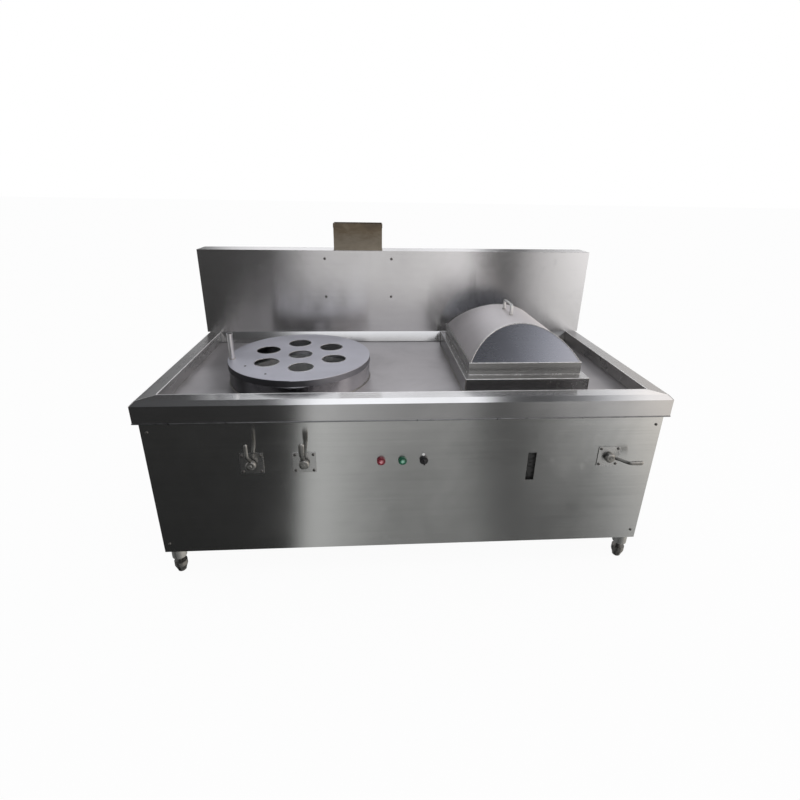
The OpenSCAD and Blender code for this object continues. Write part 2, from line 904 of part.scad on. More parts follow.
module flue_rivets() {
    color("gray")
        for (side = [-1, 1], z = rivet_zs)
            translate([flue_x + side * rivet_span / 2, splash_y, z])
                rotate([90, 0, 0])
                    rotate_extrude()
                        polygon([
                            [0, -2 * sheet],
                            [rivet_shank_d / 2, -2 * sheet],
                            [rivet_shank_d / 2, 0],
                            [rivet_head_d / 2, 0],
                            [rivet_head_d / 2, rivet_head_h / 3],
                            [rivet_head_d / 4, rivet_head_h],
                            [0, rivet_head_h]
                        ]);
}

// Steam drum

module boiler_pot() {
    color("silver")
        translate([drum_x, drum_y, deck_z])
            rotate_extrude()
                polygon([
                    [0, -pot_depth],
                    [pot_out_r, -pot_depth],
                    [pot_out_r, 0],
                    [pot_flange_r, 0],
                    [pot_flange_r, sheet],
                    [pot_r, sheet],
                    [pot_r, -pot_depth + pot_t],
                    [0, -pot_depth + pot_t]
                ]);
}

module drum_wall() {
    color("gray")
        difference() {
            rod_z(drum_x, drum_y, 2 * drum_wall_r, deck_z, drum_top - plate_t);
            rod_z(drum_x, drum_y, 2 * (drum_wall_r - sheet), deck_z - eps, drum_top);
        }
}

// Cutter for a hole through the steam plate
module plate_hole(x, y, d) {
    rod_z(x, y, d, drum_top - plate_t - eps, drum_top + eps);
}

// Half section of the steam plate, with its rounded edge and turned-down lip
module plate_section() {
    r = drum_r;
    edge = min(plate_edge_r, plate_t);
    translate([0, -plate_t])
        square([r - edge, plate_t]);
    intersection() {
        translate([r - edge, -edge])
            circle(edge);
        translate([r - edge, -edge])
            square(edge);
    }
    translate([r - edge - sheet, -plate_t])
        square([edge + sheet, plate_t - edge]);
    translate([r - sheet, -plate_lip_h])
        square([sheet, plate_lip_h - edge]);
}

module steam_plate() {
    color("lightgray")
        difference() {
            translate([drum_x, drum_y, drum_top])
                rotate_extrude()
                    plate_section();
            plate_hole(drum_x, drum_y, steam_hole_d);
            for (i = [0 : steam_ring_count - 1])
                rotate_about(drum_x, drum_y, 90 + steam_ring_turn + i * 360 / steam_ring_count)
                    plate_hole(drum_x + steam_ring_r, drum_y, steam_hole_d);
            plate_hole(vent_x, vent_y, vent_d + 2 * fit);
        }
}

module vent_pipe() {
    color("silver")
        difference() {
            union() {
                rod_z(vent_x, vent_y, vent_d, drum_top - plate_t, vent_top);
                rod_z(vent_x, vent_y, vent_d + 2 * vent_wall, vent_top - vent_band_h, vent_top);
            }
            rod_z(vent_x, vent_y, vent_d - 2 * vent_wall, drum_top - plate_t - eps, vent_top + eps);
        }
}

module left_burner() {
    color("dimgray")
        difference() {
            union() {
                translate([drum_x, drum_y, burner_z])
                    rotate_extrude()
                        translate([left_burner_r, 0])
                            circle(d = burner_tube_d);
                rod_y(drum_x, burner_z, burner_cross_d, left_jet_y, drum_y + left_burner_r);
                for (side = [-1, 1])
                    rod_z(drum_x + side * left_burner_r, drum_y, burner_leg_d, shelf_top, burner_z);
                rod_z(drum_x, drum_y + left_burner_r, burner_leg_d, shelf_top, burner_z);
                rod_z(drum_x, left_jet_y, jet_boss_d, gas_pipe_z - gas_pipe_d, burner_z);
            }
            rod_y(drum_x, gas_pipe_z, gas_pipe_d + 2 * fit, left_jet_y - gas_pipe_d, left_jet_y);
        }
}

module left_firebox() {
    color("saddlebrown")
        difference() {
            rod_z(drum_x, drum_y, 2 * left_fire_out, shelf_top, deck_under);
            rod_z(drum_x, drum_y, 2 * left_fire_r, shelf_top - eps, deck_under + eps);
            block([drum_x - neck_w / 2 - play, drum_y, neck_z - play],
                [drum_x + neck_w / 2 + play, drum_y + left_fire_out + eps, neck_top + play]);
            rod_y(drum_x, gas_pipe_z, pipe_hole_d, drum_y - left_fire_out - eps, drum_y);
            rod_y(pilot_x + pipe_drop_dx, burner_z, pipe_hole_d, drum_y - left_fire_out - eps, drum_y);
            rod_x(blower_y, blower_z, air_pipe_d + 2 * play, drum_x, drum_x + left_fire_out + eps);
        }
}

// Tray steamer

module trough() {
    floor_z = deck_z - trough_depth;
    color("silver")
        difference() {
            union() {
                slab(tray_x, tray_y, trough_out_w, trough_out_d, floor_z, grid_z);
                slab(tray_x, tray_y, trough_flange_out_w, trough_flange_out_d, deck_z, grid_z);
            }
            slab(tray_x, tray_y, trough_out_w - 2 * sheet, trough_out_d - 2 * sheet,
                floor_z + sheet, grid_z + eps);
        }
}

module tray_frame() {
    color("gray")
        difference() {
            slab(tray_x, tray_y, frame_w, frame_d, deck_z, frame_top);
            slab(tray_x, tray_y, frame_in_w - 2 * sheet, frame_in_d - 2 * sheet,
                deck_z - eps, frame_top + eps);
            difference() {
                slab(tray_x, tray_y, frame_w - 2 * sheet, frame_d - 2 * sheet,
                    deck_z - eps, frame_top - sheet);
                slab(tray_x, tray_y, frame_in_w, frame_in_d, deck_z - 2 * eps, frame_top);
            }
        }
}

module steam_grid() {
    across = floor((trough_out_w - grid_hole_d) / grid_pitch / 2);
    along = floor((trough_out_d - grid_hole_d) / grid_pitch / 2);
    color("silver")
        difference() {
            slab(tray_x, tray_y, grid_w, grid_d, grid_z, grid_z + grid_t);
            for (i = [-across : across], j = [-along : along])
                translate([i * grid_pitch, j * grid_pitch, 0])
                    rod_z(tray_x, tray_y, grid_hole_d, grid_z - eps, grid_z + grid_t + eps);
        }
}

module lid_skirt() {
    color("gray")
        union() {
            sheet_ring(tray_x, tray_y, lid_w, lid_d, frame_top, skirt_top, sheet);
            sheet_ring(tray_x, tray_y, lid_w, lid_d, skirt_top - sheet, skirt_top, skirt_flange_w);
        }
}

// Bar under the arch, thinned by a skin and lengthened past both ends
module arch_bar(skin, past) {
    translate([tray_x, 0, skirt_top])
        upright_sheet(lid_front_y - past, lid_d + 2 * past)
            segment(arch_w - 2 * skin, lid_rise - skin);
}

// Outline in Y and Z, drawn a width across the lid's middle
module across_lid(width) {
    translate([tray_x - width / 2, 0, 0])
        rotate([90, 0, 90])
            linear_extrude(width)
                children();
}

// Outline in Y and Z between two slopes that start at front and back on the skirt and lean by run per height
module leaning_outline(front, front_run, back, back_run) {
    low = -eps;
    high = lid_rise + eps;
    polygon([
        [front + low * front_run, skirt_top + low],
        [front + high * front_run, skirt_top + high],
        [back + high * back_run, skirt_top + high],
        [back + low * back_run, skirt_top + low]
    ]);
}

module lid_arch() {
    color("silver")
        difference() {
            intersection() {
                arch_bar(0, 0);
                across_lid(lid_w)
                    leaning_outline(lid_front_y, end_slope, lid_back_y, -end_slope);
            }
            arch_bar(sheet, eps);
        }
}

// End plate of the lid, leaning inside the arch between two places on the skirt
module lid_end(front, back, run) {
    intersection() {
        arch_bar(sheet + play, eps);
        across_lid(lid_w)
            leaning_outline(front, run, back, run);
    }
}

module lid_end_plates() {
    color("slategray") {
        lid_end(lid_front_y, lid_front_y + end_depth, end_slope);
        lid_end(lid_back_y - end_depth, lid_back_y, -end_slope);
    }
}

module lid_handle() {
    front = handle_y - handle_len / 2;
    back = handle_y + handle_len / 2;
    grip_top = crown_z + handle_h;
    grip_under = grip_top - handle_t;
    color("silver")
        across_lid(handle_w)
            polygon([
                [front, crown_z],
                [front, grip_top],
                [back, grip_top],
                [back, crown_z],
                [back - handle_t, crown_z],
                [back - handle_t, grip_under],
                [front + handle_t, grip_under],
                [front + handle_t, crown_z]
            ]);
}

module right_burner() {
    end_y = right_burner_len / 2;
    bar_xs = [for (i = [-1 : 1]) tray_x + i * right_burner_pitch];
    color("dimgray")
        difference() {
            union() {
                for (x = bar_xs)
                    rod_y(x, burner_z, burner_tube_d, tray_y - end_y, tray_y + end_y);
                rod_x(right_jet_y, burner_z, burner_cross_d, bar_xs[0], bar_xs[2]);
                for (x = [bar_xs[0], bar_xs[2]], y = [right_jet_y, tray_y + end_y - right_leg_inset])
                    rod_z(x, y, burner_leg_d, shelf_top, burner_z);
                rod_z(tray_x, right_jet_y, jet_boss_d, gas_pipe_z - gas_pipe_d, burner_z);
            }
            rod_y(tray_x, gas_pipe_z, gas_pipe_d + 2 * fit, right_jet_y - gas_pipe_d, right_jet_y);
        }
}

module right_firebox() {
    port_half_w = slot_w / 2 + port_margin;
    port_half_h = slot_h / 2 + port_margin;
    color("saddlebrown")
        difference() {
            sheet_ring(tray_x, tray_y, right_fire_w + 2 * firebox_t, right_fire_d + 2 * firebox_t,
                shelf_top, deck_under, firebox_t);
            block([slot_x - port_half_w, right_fire_front_y - eps, slot_z - port_half_h],
                [slot_x + port_half_w, right_fire_front_y + firebox_t + eps, slot_z + port_half_h]);
            block([tray_x - neck_w / 2 - play, tray_y, neck_z - play],
                [tray_x + neck_w / 2 + play, tray_y + right_fire_d, neck_top + play]);
            rod_y(tray_x, gas_pipe_z, pipe_hole_d, right_fire_front_y - eps, tray_y);
            rod_x(blower_y, blower_z, air_pipe_d + 2 * play, right_fire_left_x - eps, tray_x);
        }
}

// A square duct from y0 to the collector, open at both ends
module flue_neck(x, y0) {
    difference() {
        block([x - neck_w / 2, y0, neck_z], [x + neck_w / 2, collector_y, neck_top]);
        block([x - neck_w / 2 + sheet, y0 - eps, neck_z + sheet],
            [x + neck_w / 2 - sheet, collector_y + eps, neck_top - sheet]);
    }
}

module flue_necks() {
    color("dimgray") {
        flue_neck(drum_x, drum_y + left_fire_r - fire_gap);
        flue_neck(tray_x, tray_y + right_fire_d / 2 - fire_gap / 2);
    }
}

module flue_collector() {
    color("dimgray")
        difference() {
            block([collector_left, collector_y, collector_z], [collector_right, collector_back, deck_under]);
            block([collector_left + sheet, collector_y + sheet, collector_z + sheet],
                [collector_right - sheet, collector_back - sheet, deck_under + eps]);
            for (x = [drum_x, tray_x])
                block([x - neck_w / 2 + sheet, collector_y - eps, neck_z + sheet],
                    [x + neck_w / 2 - sheet, collector_y + sheet + eps, neck_top - sheet]);
        }
}

// Gas and air

// Run of the gas manifold, shortened at its closed end and lengthened at its inlet
module manifold_run(short, past, d) {
    pipe_run([
        [manifold_left_x + short, manifold_axis_y, manifold_z],
        [manifold_right_x, manifold_axis_y, manifold_z],
        [manifold_right_x, back_y + past, manifold_z]
    ], d);
}

module gas_manifold() {
    color("goldenrod")
        difference() {
            union() {
                manifold_run(0, 0, manifold_d);
                for (x = valve_xs)
                    rod_z(x, manifold_axis_y, valve_port_d, manifold_z, control_z - valve_foot_drop);
                rod_y(manifold_right_x, manifold_z, inlet_d, rear_y, back_y);
            }
            manifold_run(gas_wall, eps, manifold_d - 2 * gas_wall);
        }
}

module valve(x) {
    color("darkgoldenrod")
        difference() {
            union() {
                rod_y(x, control_z, valve_body_d, panel_in_y, panel_y + valve_body_len);
                rod_z(x, manifold_axis_y, valve_foot_d, control_z - valve_foot_drop, control_z);
                rod_x(pipe_y, control_z, valve_port_d, x, x + valve_port_len);
            }
            rod_y(x, control_z, spindle_d + 2 * fit, panel_y, panel_y + valve_bore_len);
        }
}

module pilot_valve() {
    valve(pilot_x);
}

module main_valve() {
    valve(main_x);
}

module right_valve() {
    valve(right_x);
}

module valve_plates() {
    front = panel_y - valve_plate_t;
    color("silver")
        for (x = valve_xs)
            difference() {
                block([x - valve_plate_w / 2, front, control_z - valve_plate_w / 2],
                    [x + valve_plate_w / 2, panel_y, control_z + valve_plate_w / 2]);
                rod_y(x, control_z, spindle_d + 2 * play, front - eps, panel_y + eps);
                for (c = square_corners(valve_screw_pitch))
                    rod_y(x + c.x, control_z + c.y, screw_hole_d, front - eps, panel_y + eps);
            }
}

module plate_screws() {
    color("dimgray")
        for (x = valve_xs, c = square_corners(valve_screw_pitch))
            screw(x + c.x, panel_y - valve_plate_t, control_z + c.y, valve_plate_t + screw_len);
}

// Lever with its spindle, upright, with its axis at x and its panel face at panel_y
module lever_upright() {
    k = lever_t * fold / 2;
    near = lever_mid - lever_t / 2;
    out = lever_mid + lever_t / 2;
    bend_top = lever_bend + lever_rise;
    tip_z = lever_len - lever_tip_w / 2;
    rod_y(0, 0, spindle_d, -hub_front, spindle_in);
    rod_y(0, 0, hub_d, -hub_front, -hub_gap);
    translate([-lever_w / 2, 0, 0])
        rotate([90, 0, 90])
            linear_extrude(lever_w)
                polygon([
                    [-near, 0],
                    [-near, lever_bend + k],
                    [-near - lever_rise, bend_top + k],
                    [-near - lever_rise, tip_z],
                    [-out - lever_rise, tip_z],
                    [-out - lever_rise, bend_top - k],
                    [-out, lever_bend - k],
                    [-out, 0]
                ]);
    rod_y(0, tip_z, lever_tip_w, -out - lever_rise, -near - lever_rise);
}

module lever(x, turn) {
    color("gainsboro")
        translate([x, panel_y, control_z])
            rotate([0, turn, 0])
                lever_upright();
}

module pilot_lever() {
    lever(pilot_x, 0);
}

module main_lever() {
    lever(main_x, 0);
}

module right_lever() {
    lever(right_x, 90);
}

module burner_pipes() {
    main_drop_x = main_x + pipe_drop_dx;
    pilot_drop_x = pilot_x + pipe_drop_dx;
    right_drop_x = right_x + pipe_drop_dx;
    color("goldenrod") {
        pipe_run([
            [main_x + valve_port_len, pipe_y, control_z],
            [main_drop_x, pipe_y, control_z],
            [main_drop_x, pipe_y, gas_pipe_z],
            [drum_x, pipe_y, gas_pipe_z],
            [drum_x, left_jet_y, gas_pipe_z]
        ], gas_pipe_d);
        pipe_run([
            [pilot_x + valve_port_len, pipe_y, control_z],
            [pilot_drop_x, pipe_y, control_z],
            [pilot_drop_x, pipe_y, burner_z],
            [pilot_drop_x, left_jet_y, burner_z]
        ], gas_pipe_d);
        pipe_run([
            [right_x + valve_port_len, pipe_y, control_z],
            [right_drop_x, pipe_y, control_z],
            [right_drop_x, pipe_y, gas_pipe_z],
            [tray_x, pipe_y, gas_pipe_z],
            [tray_x, right_jet_y, gas_pipe_z]
        ], gas_pipe_d);
    }
}

// Rod across the blower, reaching as far to each side of its axis
module air_rod(d, reach) {
    rod_x(blower_y, blower_z, d, blower_x - reach, blower_x + reach);
}

module blower_housing() {
    front = blower_y - blower_w / 2;
    back = blower_y + blower_w / 2;
    color("slategray")
        difference() {
            union() {
                rod_y(blower_x, blower_z, blower_d, front, back);
                for (side = [-1, 1])
                    slab(blower_x + side * blower_d / 4, blower_y, blower_foot_w, blower_w,
                        shelf_top, blower_z - blower_d / 4);
                air_rod(air_pipe_d + 2 * blower_wall, blower_stub);
            }
            rod_y(blower_x, blower_z, housing_in_d, front + blower_wall, back - blower_wall);
            rod_y(blower_x, blower_z, blower_inlet_d, front - eps, blower_y);
            rod_y(blower_x, blower_z, 2 * shaft_d, blower_y, back + eps);
            air_rod(air_pipe_d - 2 * blower_wall, blower_stub + eps);
        }
}

module blower_impeller() {
    wheel_d = housing_in_d - 2 * wheel_gap;
    front = blower_y - blower_w / 2 + blower_wall + wheel_gap;
    back = blower_y + blower_w / 2 - blower_wall - wheel_gap;
    hub_y = front + blower_w / 4;
    color("lightgray")
        union() {
            rod_y(blower_x, blower_z, wheel_d, back - blade_t, back);
            rod_y(blower_x, blower_z, impeller_hub_d, hub_y, back);
            rod_y(blower_x, blower_z, shaft_d, hub_y, blower_y + blower_w / 2 + motor_len / 2);
            for (i = [0 : blade_count - 1])
                translate([blower_x, 0, blower_z])
                    rotate([0, i * 360 / blade_count, 0])
                        block([wheel_d / 2 - blade_h - eps, front, -blade_t / 2],
                            [wheel_d / 2 - eps, back, blade_t / 2]);
        }
}

module blower_motor() {
    start = blower_y + blower_w / 2;
    color("midnightblue")
        difference() {
            union() {
                rod_y(blower_x, blower_z, motor_d, start, start + motor_len);
                slab(blower_x, start + motor_len / 2, motor_foot_w, motor_len / 2, shelf_top, blower_z);
            }
            rod_y(blower_x, blower_z, shaft_d + 2 * fit, start - eps, start + motor_len / 2 + eps);
        }
}

module air_pipe(x0, x1) {
    difference() {
        rod_x(blower_y, blower_z, air_pipe_d, x0, x1);
        rod_x(blower_y, blower_z, air_pipe_d - 2 * blower_wall, x0 - eps, x1 + eps);
    }
}

module air_pipes() {
    color("lightslategray") {
        air_pipe(drum_x + left_fire_r, blower_x - blower_stub);
        air_pipe(blower_x + blower_stub, right_fire_left_x + firebox_t);
    }
}

// Buttons and selector, drawn with the panel's face at y = 0

module push_body(x) {
    translate([x, panel_y, control_z])
        difference() {
            union() {
                rod_y(0, 0, bezel_d, -bezel_h, 0);
                rod_y(0, 0, cap_d + 2 * sheet + 2 * play, -bezel_h, sheet + nut_h);
                rod_y(0, 0, nut_d, sheet, sheet + nut_h);
                block([-block_w / 2, sheet + nut_h, -block_h / 2], [block_w / 2, block_end, block_h / 2]);
            }
            rod_y(0, 0, cap_d + 2 * play, -bezel_h - eps, cap_bore_in);
            rod_y(0, 0, stem_d + 2 * fit, 0, block_end - eps);
        }
}

module push_cap(x) {
    translate([x, panel_y, control_z]) {
        rod_y(0, 0, cap_d, -bezel_h - cap_proud, cap_in);
        rod_y(0, 0, stem_d, 0, stem_in);
    }
}

module stop_button() {
    color("firebrick")
        push_cap(button_xs[0]);
}

module start_button() {
    color("seagreen")
        push_cap(button_xs[1]);
}

module button_bodies() {
    color("dimgray")
        for (x = button_xs)
            push_body(x);
}

module selector_knob() {
    color("black")
        union() {
            push_cap(selector_x);
            translate([selector_x, panel_y, control_z])
                block([-knob_bar_w / 2, -bezel_h - cap_proud - knob_bar_h, -cap_d / 2 + eps],
                    [knob_bar_w / 2, -bezel_h, cap_d / 2 - eps]);
        }
}

module selector_body() {
    color("dimgray")
        push_body(selector_x);
}

module control_box() {
    left = button_x - box_margin;
    right = selector_x + box_margin;
    low = control_z - box_h / 2;
    high = control_z + box_h / 2;
    color("lightsteelblue")
        difference() {
            block([left, panel_in_y, low], [right, panel_y + box_depth, high]);
            block([left + sheet, panel_in_y - eps, low + sheet],
                [right - sheet, panel_y + box_depth - sheet, high - sheet]);
        }
}

// Gland in the rear panel, for the blower's supply
module cable_gland() {
    inner_y = rear_in_y - gland_nut_h;
    outer_y = rear_y + gland_len;
    color("black")
        difference() {
            union() {
                rod_y(blower_x, gland_z, gland_d, inner_y, outer_y);
                rod_y(blower_x, gland_z, gland_nut_d, inner_y, rear_in_y);
                rod_y(blower_x, gland_z, gland_nut_d, rear_y, rear_y + gland_nut_h);
            }
            rod_y(blower_x, gland_z, gland_bore_d, inner_y - eps, outer_y + eps);
        }
}

deck();
front_rim();
left_rim();
right_rim();
front_panel();
left_panel();
right_panel();
rear_panel();
base_shelf();
corner_legs();
foot_front_left();
foot_front_right();
foot_rear_left();
foot_rear_right();
panel_screws();
splash_front();
splash_back();
splash_sides();
splash_top();
flue_riser();
flue_outlet();
flue_rivets();
boiler_pot();
drum_wall();
steam_plate();
vent_pipe();
left_burner();
left_firebox();
trough();
tray_frame();
steam_grid();
lid_skirt();
lid_arch();
lid_end_plates();
lid_handle();
right_burner();
right_firebox();
flue_necks();
flue_collector();
gas_manifold();
pilot_valve();
main_valve();
right_valve();
valve_plates();
plate_screws();
pilot_lever();
main_lever();
right_lever();
burner_pipes();
blower_housing();
blower_impeller();
blower_motor();
air_pipes();
stop_button();
start_button();
button_bodies();
selector_knob();
selector_body();
control_box();
cable_gland();
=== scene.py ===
"""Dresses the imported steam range: sheet steel, welds, hems, lever valves, lens buttons, floor and light."""

import logging
from dataclasses import dataclass
from enum import Enum

import bmesh
import bpy
import numpy as np
from mathutils import Matrix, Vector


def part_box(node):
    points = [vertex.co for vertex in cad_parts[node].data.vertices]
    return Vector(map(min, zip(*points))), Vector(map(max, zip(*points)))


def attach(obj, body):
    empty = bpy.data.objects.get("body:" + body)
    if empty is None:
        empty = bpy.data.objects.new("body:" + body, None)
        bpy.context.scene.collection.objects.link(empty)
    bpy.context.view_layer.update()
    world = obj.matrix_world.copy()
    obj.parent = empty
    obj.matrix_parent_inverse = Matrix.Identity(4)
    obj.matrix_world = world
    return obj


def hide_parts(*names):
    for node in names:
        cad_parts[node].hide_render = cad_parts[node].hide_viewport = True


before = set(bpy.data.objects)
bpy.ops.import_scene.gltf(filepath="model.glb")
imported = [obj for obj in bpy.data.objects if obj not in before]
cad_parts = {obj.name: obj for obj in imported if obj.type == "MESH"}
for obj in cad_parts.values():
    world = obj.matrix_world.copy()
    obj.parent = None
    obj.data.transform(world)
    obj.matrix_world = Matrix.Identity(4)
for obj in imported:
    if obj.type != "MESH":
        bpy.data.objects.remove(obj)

Array = np.ndarray
Point = tuple[float, float, float]
Colour = tuple[float, float, float]
Stops = tuple[tuple[float, float], ...]
Socket = bpy.types.NodeSocket
LOG = logging.getLogger("steam_range")
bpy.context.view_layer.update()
UP = np.array([0.0, 0.0, 1.0])
OUT = np.array([0.0, -1.0, 0.0])
PANEL_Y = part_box("front_panel")[0][1]
DECK_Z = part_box("deck")[1][2]
PLATE_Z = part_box("steam_plate")[1][2]
# Head radius and height of the panel's cross screws; shank radius, shank length and depth of the recess
PAN_HEAD = (0.005, 0.003)
PAN_SHANK: Point = (0.0025, 0.008, 0.0016)
# Points along a path in one scallop of a weld, and the lift of a weld's middle above its sheet
SCALLOP = 3
WELD_LIFT = 0.0006
# Where the backdrop's dark left flag begins: place along x and brightness
LEFT_FLAG: Stops = ((-1.0, 0.5), (-0.75, 0.45), (-0.58, 0.05))


def unit(vector: Array) -> Array:
    """Gives vectors the length one along the last axis."""
    return vector / np.linalg.norm(vector, axis=-1, keepdims=True)


def smooth_step(value: Array) -> Array:
    """Rises from 0 to 1 as 3t^2 - 2t^3, level at both ends."""
    t = np.clip(value, 0.0, 1.0)
    return t * t * (3 - 2 * t)


def middle(node: str) -> Array:
    """Gives the middle of a CAD node's box."""
    low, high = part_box(node)
    return (np.array(low) + np.array(high)) / 2


def over(node: str, z: float) -> Array:
    """Gives the point at a height on the upright line through the middle of a CAD node."""
    return middle(node) * [1, 1, 0] + z * UP


def full_turn(steps: int) -> Array:
    """Gives evenly spaced angles round a full turn."""
    return np.linspace(0, 2 * np.pi, steps, endpoint=False)


def columns(*values: Array | float) -> Array:
    """Sets coordinates side by side along a last axis; a number is repeated to fit."""
    return np.stack(np.broadcast_arrays(*values), axis=-1)


@dataclass(frozen=True)
class Shape:
    """Points and four-cornered faces of one or more closed surfaces."""

    points: Array
    faces: Array

    def __add__(self, other: "Shape") -> "Shape":
        """Puts two shapes into one."""
        return Shape(np.vstack([self.points, other.points]),
                     np.vstack([self.faces, other.faces + len(self.points)]))

    def turned(self, centre: Array, degrees: float) -> "Shape":
        """Turns the shape about the +Y axis through a centre.

        Args:
            centre: A point on the axis.
            degrees: The turn, positive from +Z towards +X.

        Returns:
            The turned shape.
        """
        a = np.radians(degrees)
        turn = np.array([[np.cos(a), 0, np.sin(a)], [0, 1, 0], [-np.sin(a), 0, np.cos(a)]])
        return Shape((self.points - centre) @ turn.T + centre, self.faces)


def grid(points: Array) -> Shape:
    """Joins neighbours of a rows by columns grid with quads; the last column meets the first.

    Args:
        points: An array of rows, columns and three coordinates.

    Returns:
        The surface through the grid.
    """
    rows, cols = points.shape[:2]
    row = np.arange(rows - 1)[:, None] * cols
    here = np.arange(cols)[None, :]
    there = (here + 1) % cols
    corners = np.stack([row + here, row + there, row + cols + there, row + cols + here], axis=-1)
    return Shape(points.reshape(-1, 3), corners.reshape(-1, 4))


def lathe(half_section: Array, centre: Array, axis: Array, steps: int = 40) -> Shape:
    """Revolves a half section: (r, h) goes to centre + h axis + r (cos a side + sin a lift).

    Args:
        half_section: Rows of radius and height, from pole to pole.
        centre: The point at height zero.
        axis: The unit axis.
        steps: The columns around the axis.

    Returns:
        The surface of revolution.
    """
    angle = full_turn(steps)
    askew = [0.31, 0.52, 0.8]
    side = unit(np.cross(axis, askew))
    lift = np.cross(axis, side)
    around = np.cos(angle)[:, None] * side + np.sin(angle)[:, None] * lift
    r, h = half_section[:, 0], half_section[:, 1]
    return grid(centre + h[:, None, None] * axis + r[:, None, None] * around[None])


def oval(width: float, height: float, power: float = 2.0, steps: int = 16) -> Array:
    """Gives a superellipse |a/w|^p + |b/h|^p = 1 as points a = w cos^(2/p), b = h sin^(2/p).

    Args:
        width: The whole width.
        height: The whole height.
        power: The exponent; 2 is an ellipse and larger is squarer.
        steps: The points around.

    Returns:
        Rows of a and b.
    """
    t = full_turn(steps)
    c, s = np.cos(t), np.sin(t)
    a = np.sign(c) * np.abs(c) ** (2 / power) * width / 2
    b = np.sign(s) * np.abs(s) ** (2 / power) * height / 2
    return columns(a, b)


def sweep(path: Array, section: Array, up: Array, scale: Array | None = None, closed: bool = False) -> Shape:
    """Carries a section along a path: (a, b) goes to path + a side + b lift, side = tangent x up.

    Args:
        path: Rows of points.
        section: Rows of a and b around the path.
        up: The direction that lift follows.
        scale: The section's size at each point of the path, or None for one all along.
        closed: Whether the path's end meets its start; open ends close on the path.

    Returns:
        The swept surface.
    """
    if closed:
        tangent = unit(np.roll(path, -1, axis=0) - np.roll(path, 1, axis=0))
    else:
        tangent = unit(np.gradient(path, axis=0))
    side = unit(np.cross(tangent, up))
    lift = np.cross(side, tangent)
    size = np.ones(len(path)) if scale is None else scale
    offset = section[None, :, :1] * side[:, None] + section[None, :, 1:] * lift[:, None]
    rings = path[:, None] + size[:, None, None] * offset
    if closed:
        return grid(np.concatenate([rings, rings[:1]]))
    ends = np.repeat(path[[0, -1], None], len(section), axis=1)
    return grid(np.concatenate([ends[:1], rings, ends[1:]]))


def straight(start: Point, end: Point, steps: int) -> Array:
    """Gives evenly spaced points from start to end."""
    share = np.linspace(0, 1, steps)[:, None]
    return np.array(start) * (1 - share) + np.array(end) * share


def circle_path(centre: Array, radius: float, steps: int, turn: float = 0.0) -> Array:
    """Gives a level ring of points, centre + radius (cos a, sin a, 0), the first at a turn in degrees."""
    a = full_turn(steps) + np.radians(turn)
    return centre + radius * columns(np.cos(a), np.sin(a), 0.0)


def box_path(low: Point, high: Point, z: float, corner: float, steps: int = 90) -> Array:
    """Gives a level rectangle with round corners: each corner's arc joined by straight runs.

    Args:
        low: The corner with the least x and y.
        high: The corner with the greatest x and y.
        z: The height of the path.
        corner: The radius of the corners.
        steps: The points of each corner and the run after it.

    Returns:
        Rows of points, going round once.
    """
    arc_points = 7
    quarter = np.arange(4)[:, None] * np.pi / 2
    arc = np.linspace(0, np.pi / 2, arc_points)[None, :] + quarter
    centre_x = np.array([high[0] - corner, low[0] + corner, low[0] + corner, high[0] - corner])[:, None]
    centre_y = np.array([high[1] - corner, high[1] - corner, low[1] + corner, low[1] + corner])[:, None]
    x = centre_x + corner * np.cos(arc)
    y = centre_y + corner * np.sin(arc)
    share = np.linspace(0, 1, steps - arc_points + 2)[None, 1:-1]
    run_x = x[:, -1:] * (1 - share) + np.roll(x[:, :1], -1, axis=0) * share
    run_y = y[:, -1:] * (1 - share) + np.roll(y[:, :1], -1, axis=0) * share
    return columns(np.hstack([x, run_x]).ravel(), np.hstack([y, run_y]).ravel(), z)


def ripple(count: int, depth: float) -> Array:
    """Gives a weld's scale along its run: 1 + depth (|sin| - 1/2), one arch of the sine to a scallop."""
    return 1 + depth * (np.abs(np.sin(np.arange(count) * np.pi / SCALLOP)) - 0.5)


def bead(path: Array, radius: float, steps: int = 8, closed: bool = False) -> Shape:
    """Lays a round bead along a level path."""
    return sweep(path, oval(2 * radius, 2 * radius, steps=steps), UP, closed=closed)


def weld(path: Array, width: float, height: float, steps: int = 8) -> Shape:
    """Lays a scalloped weld round a closed, level path."""
    return sweep(path, oval(width, height, steps=steps), UP, ripple(len(path), 0.3), True)


def joined(shapes: list[Shape]) -> Shape:
    """Puts all shapes of a list into one."""
    return sum(shapes[1:], shapes[0])


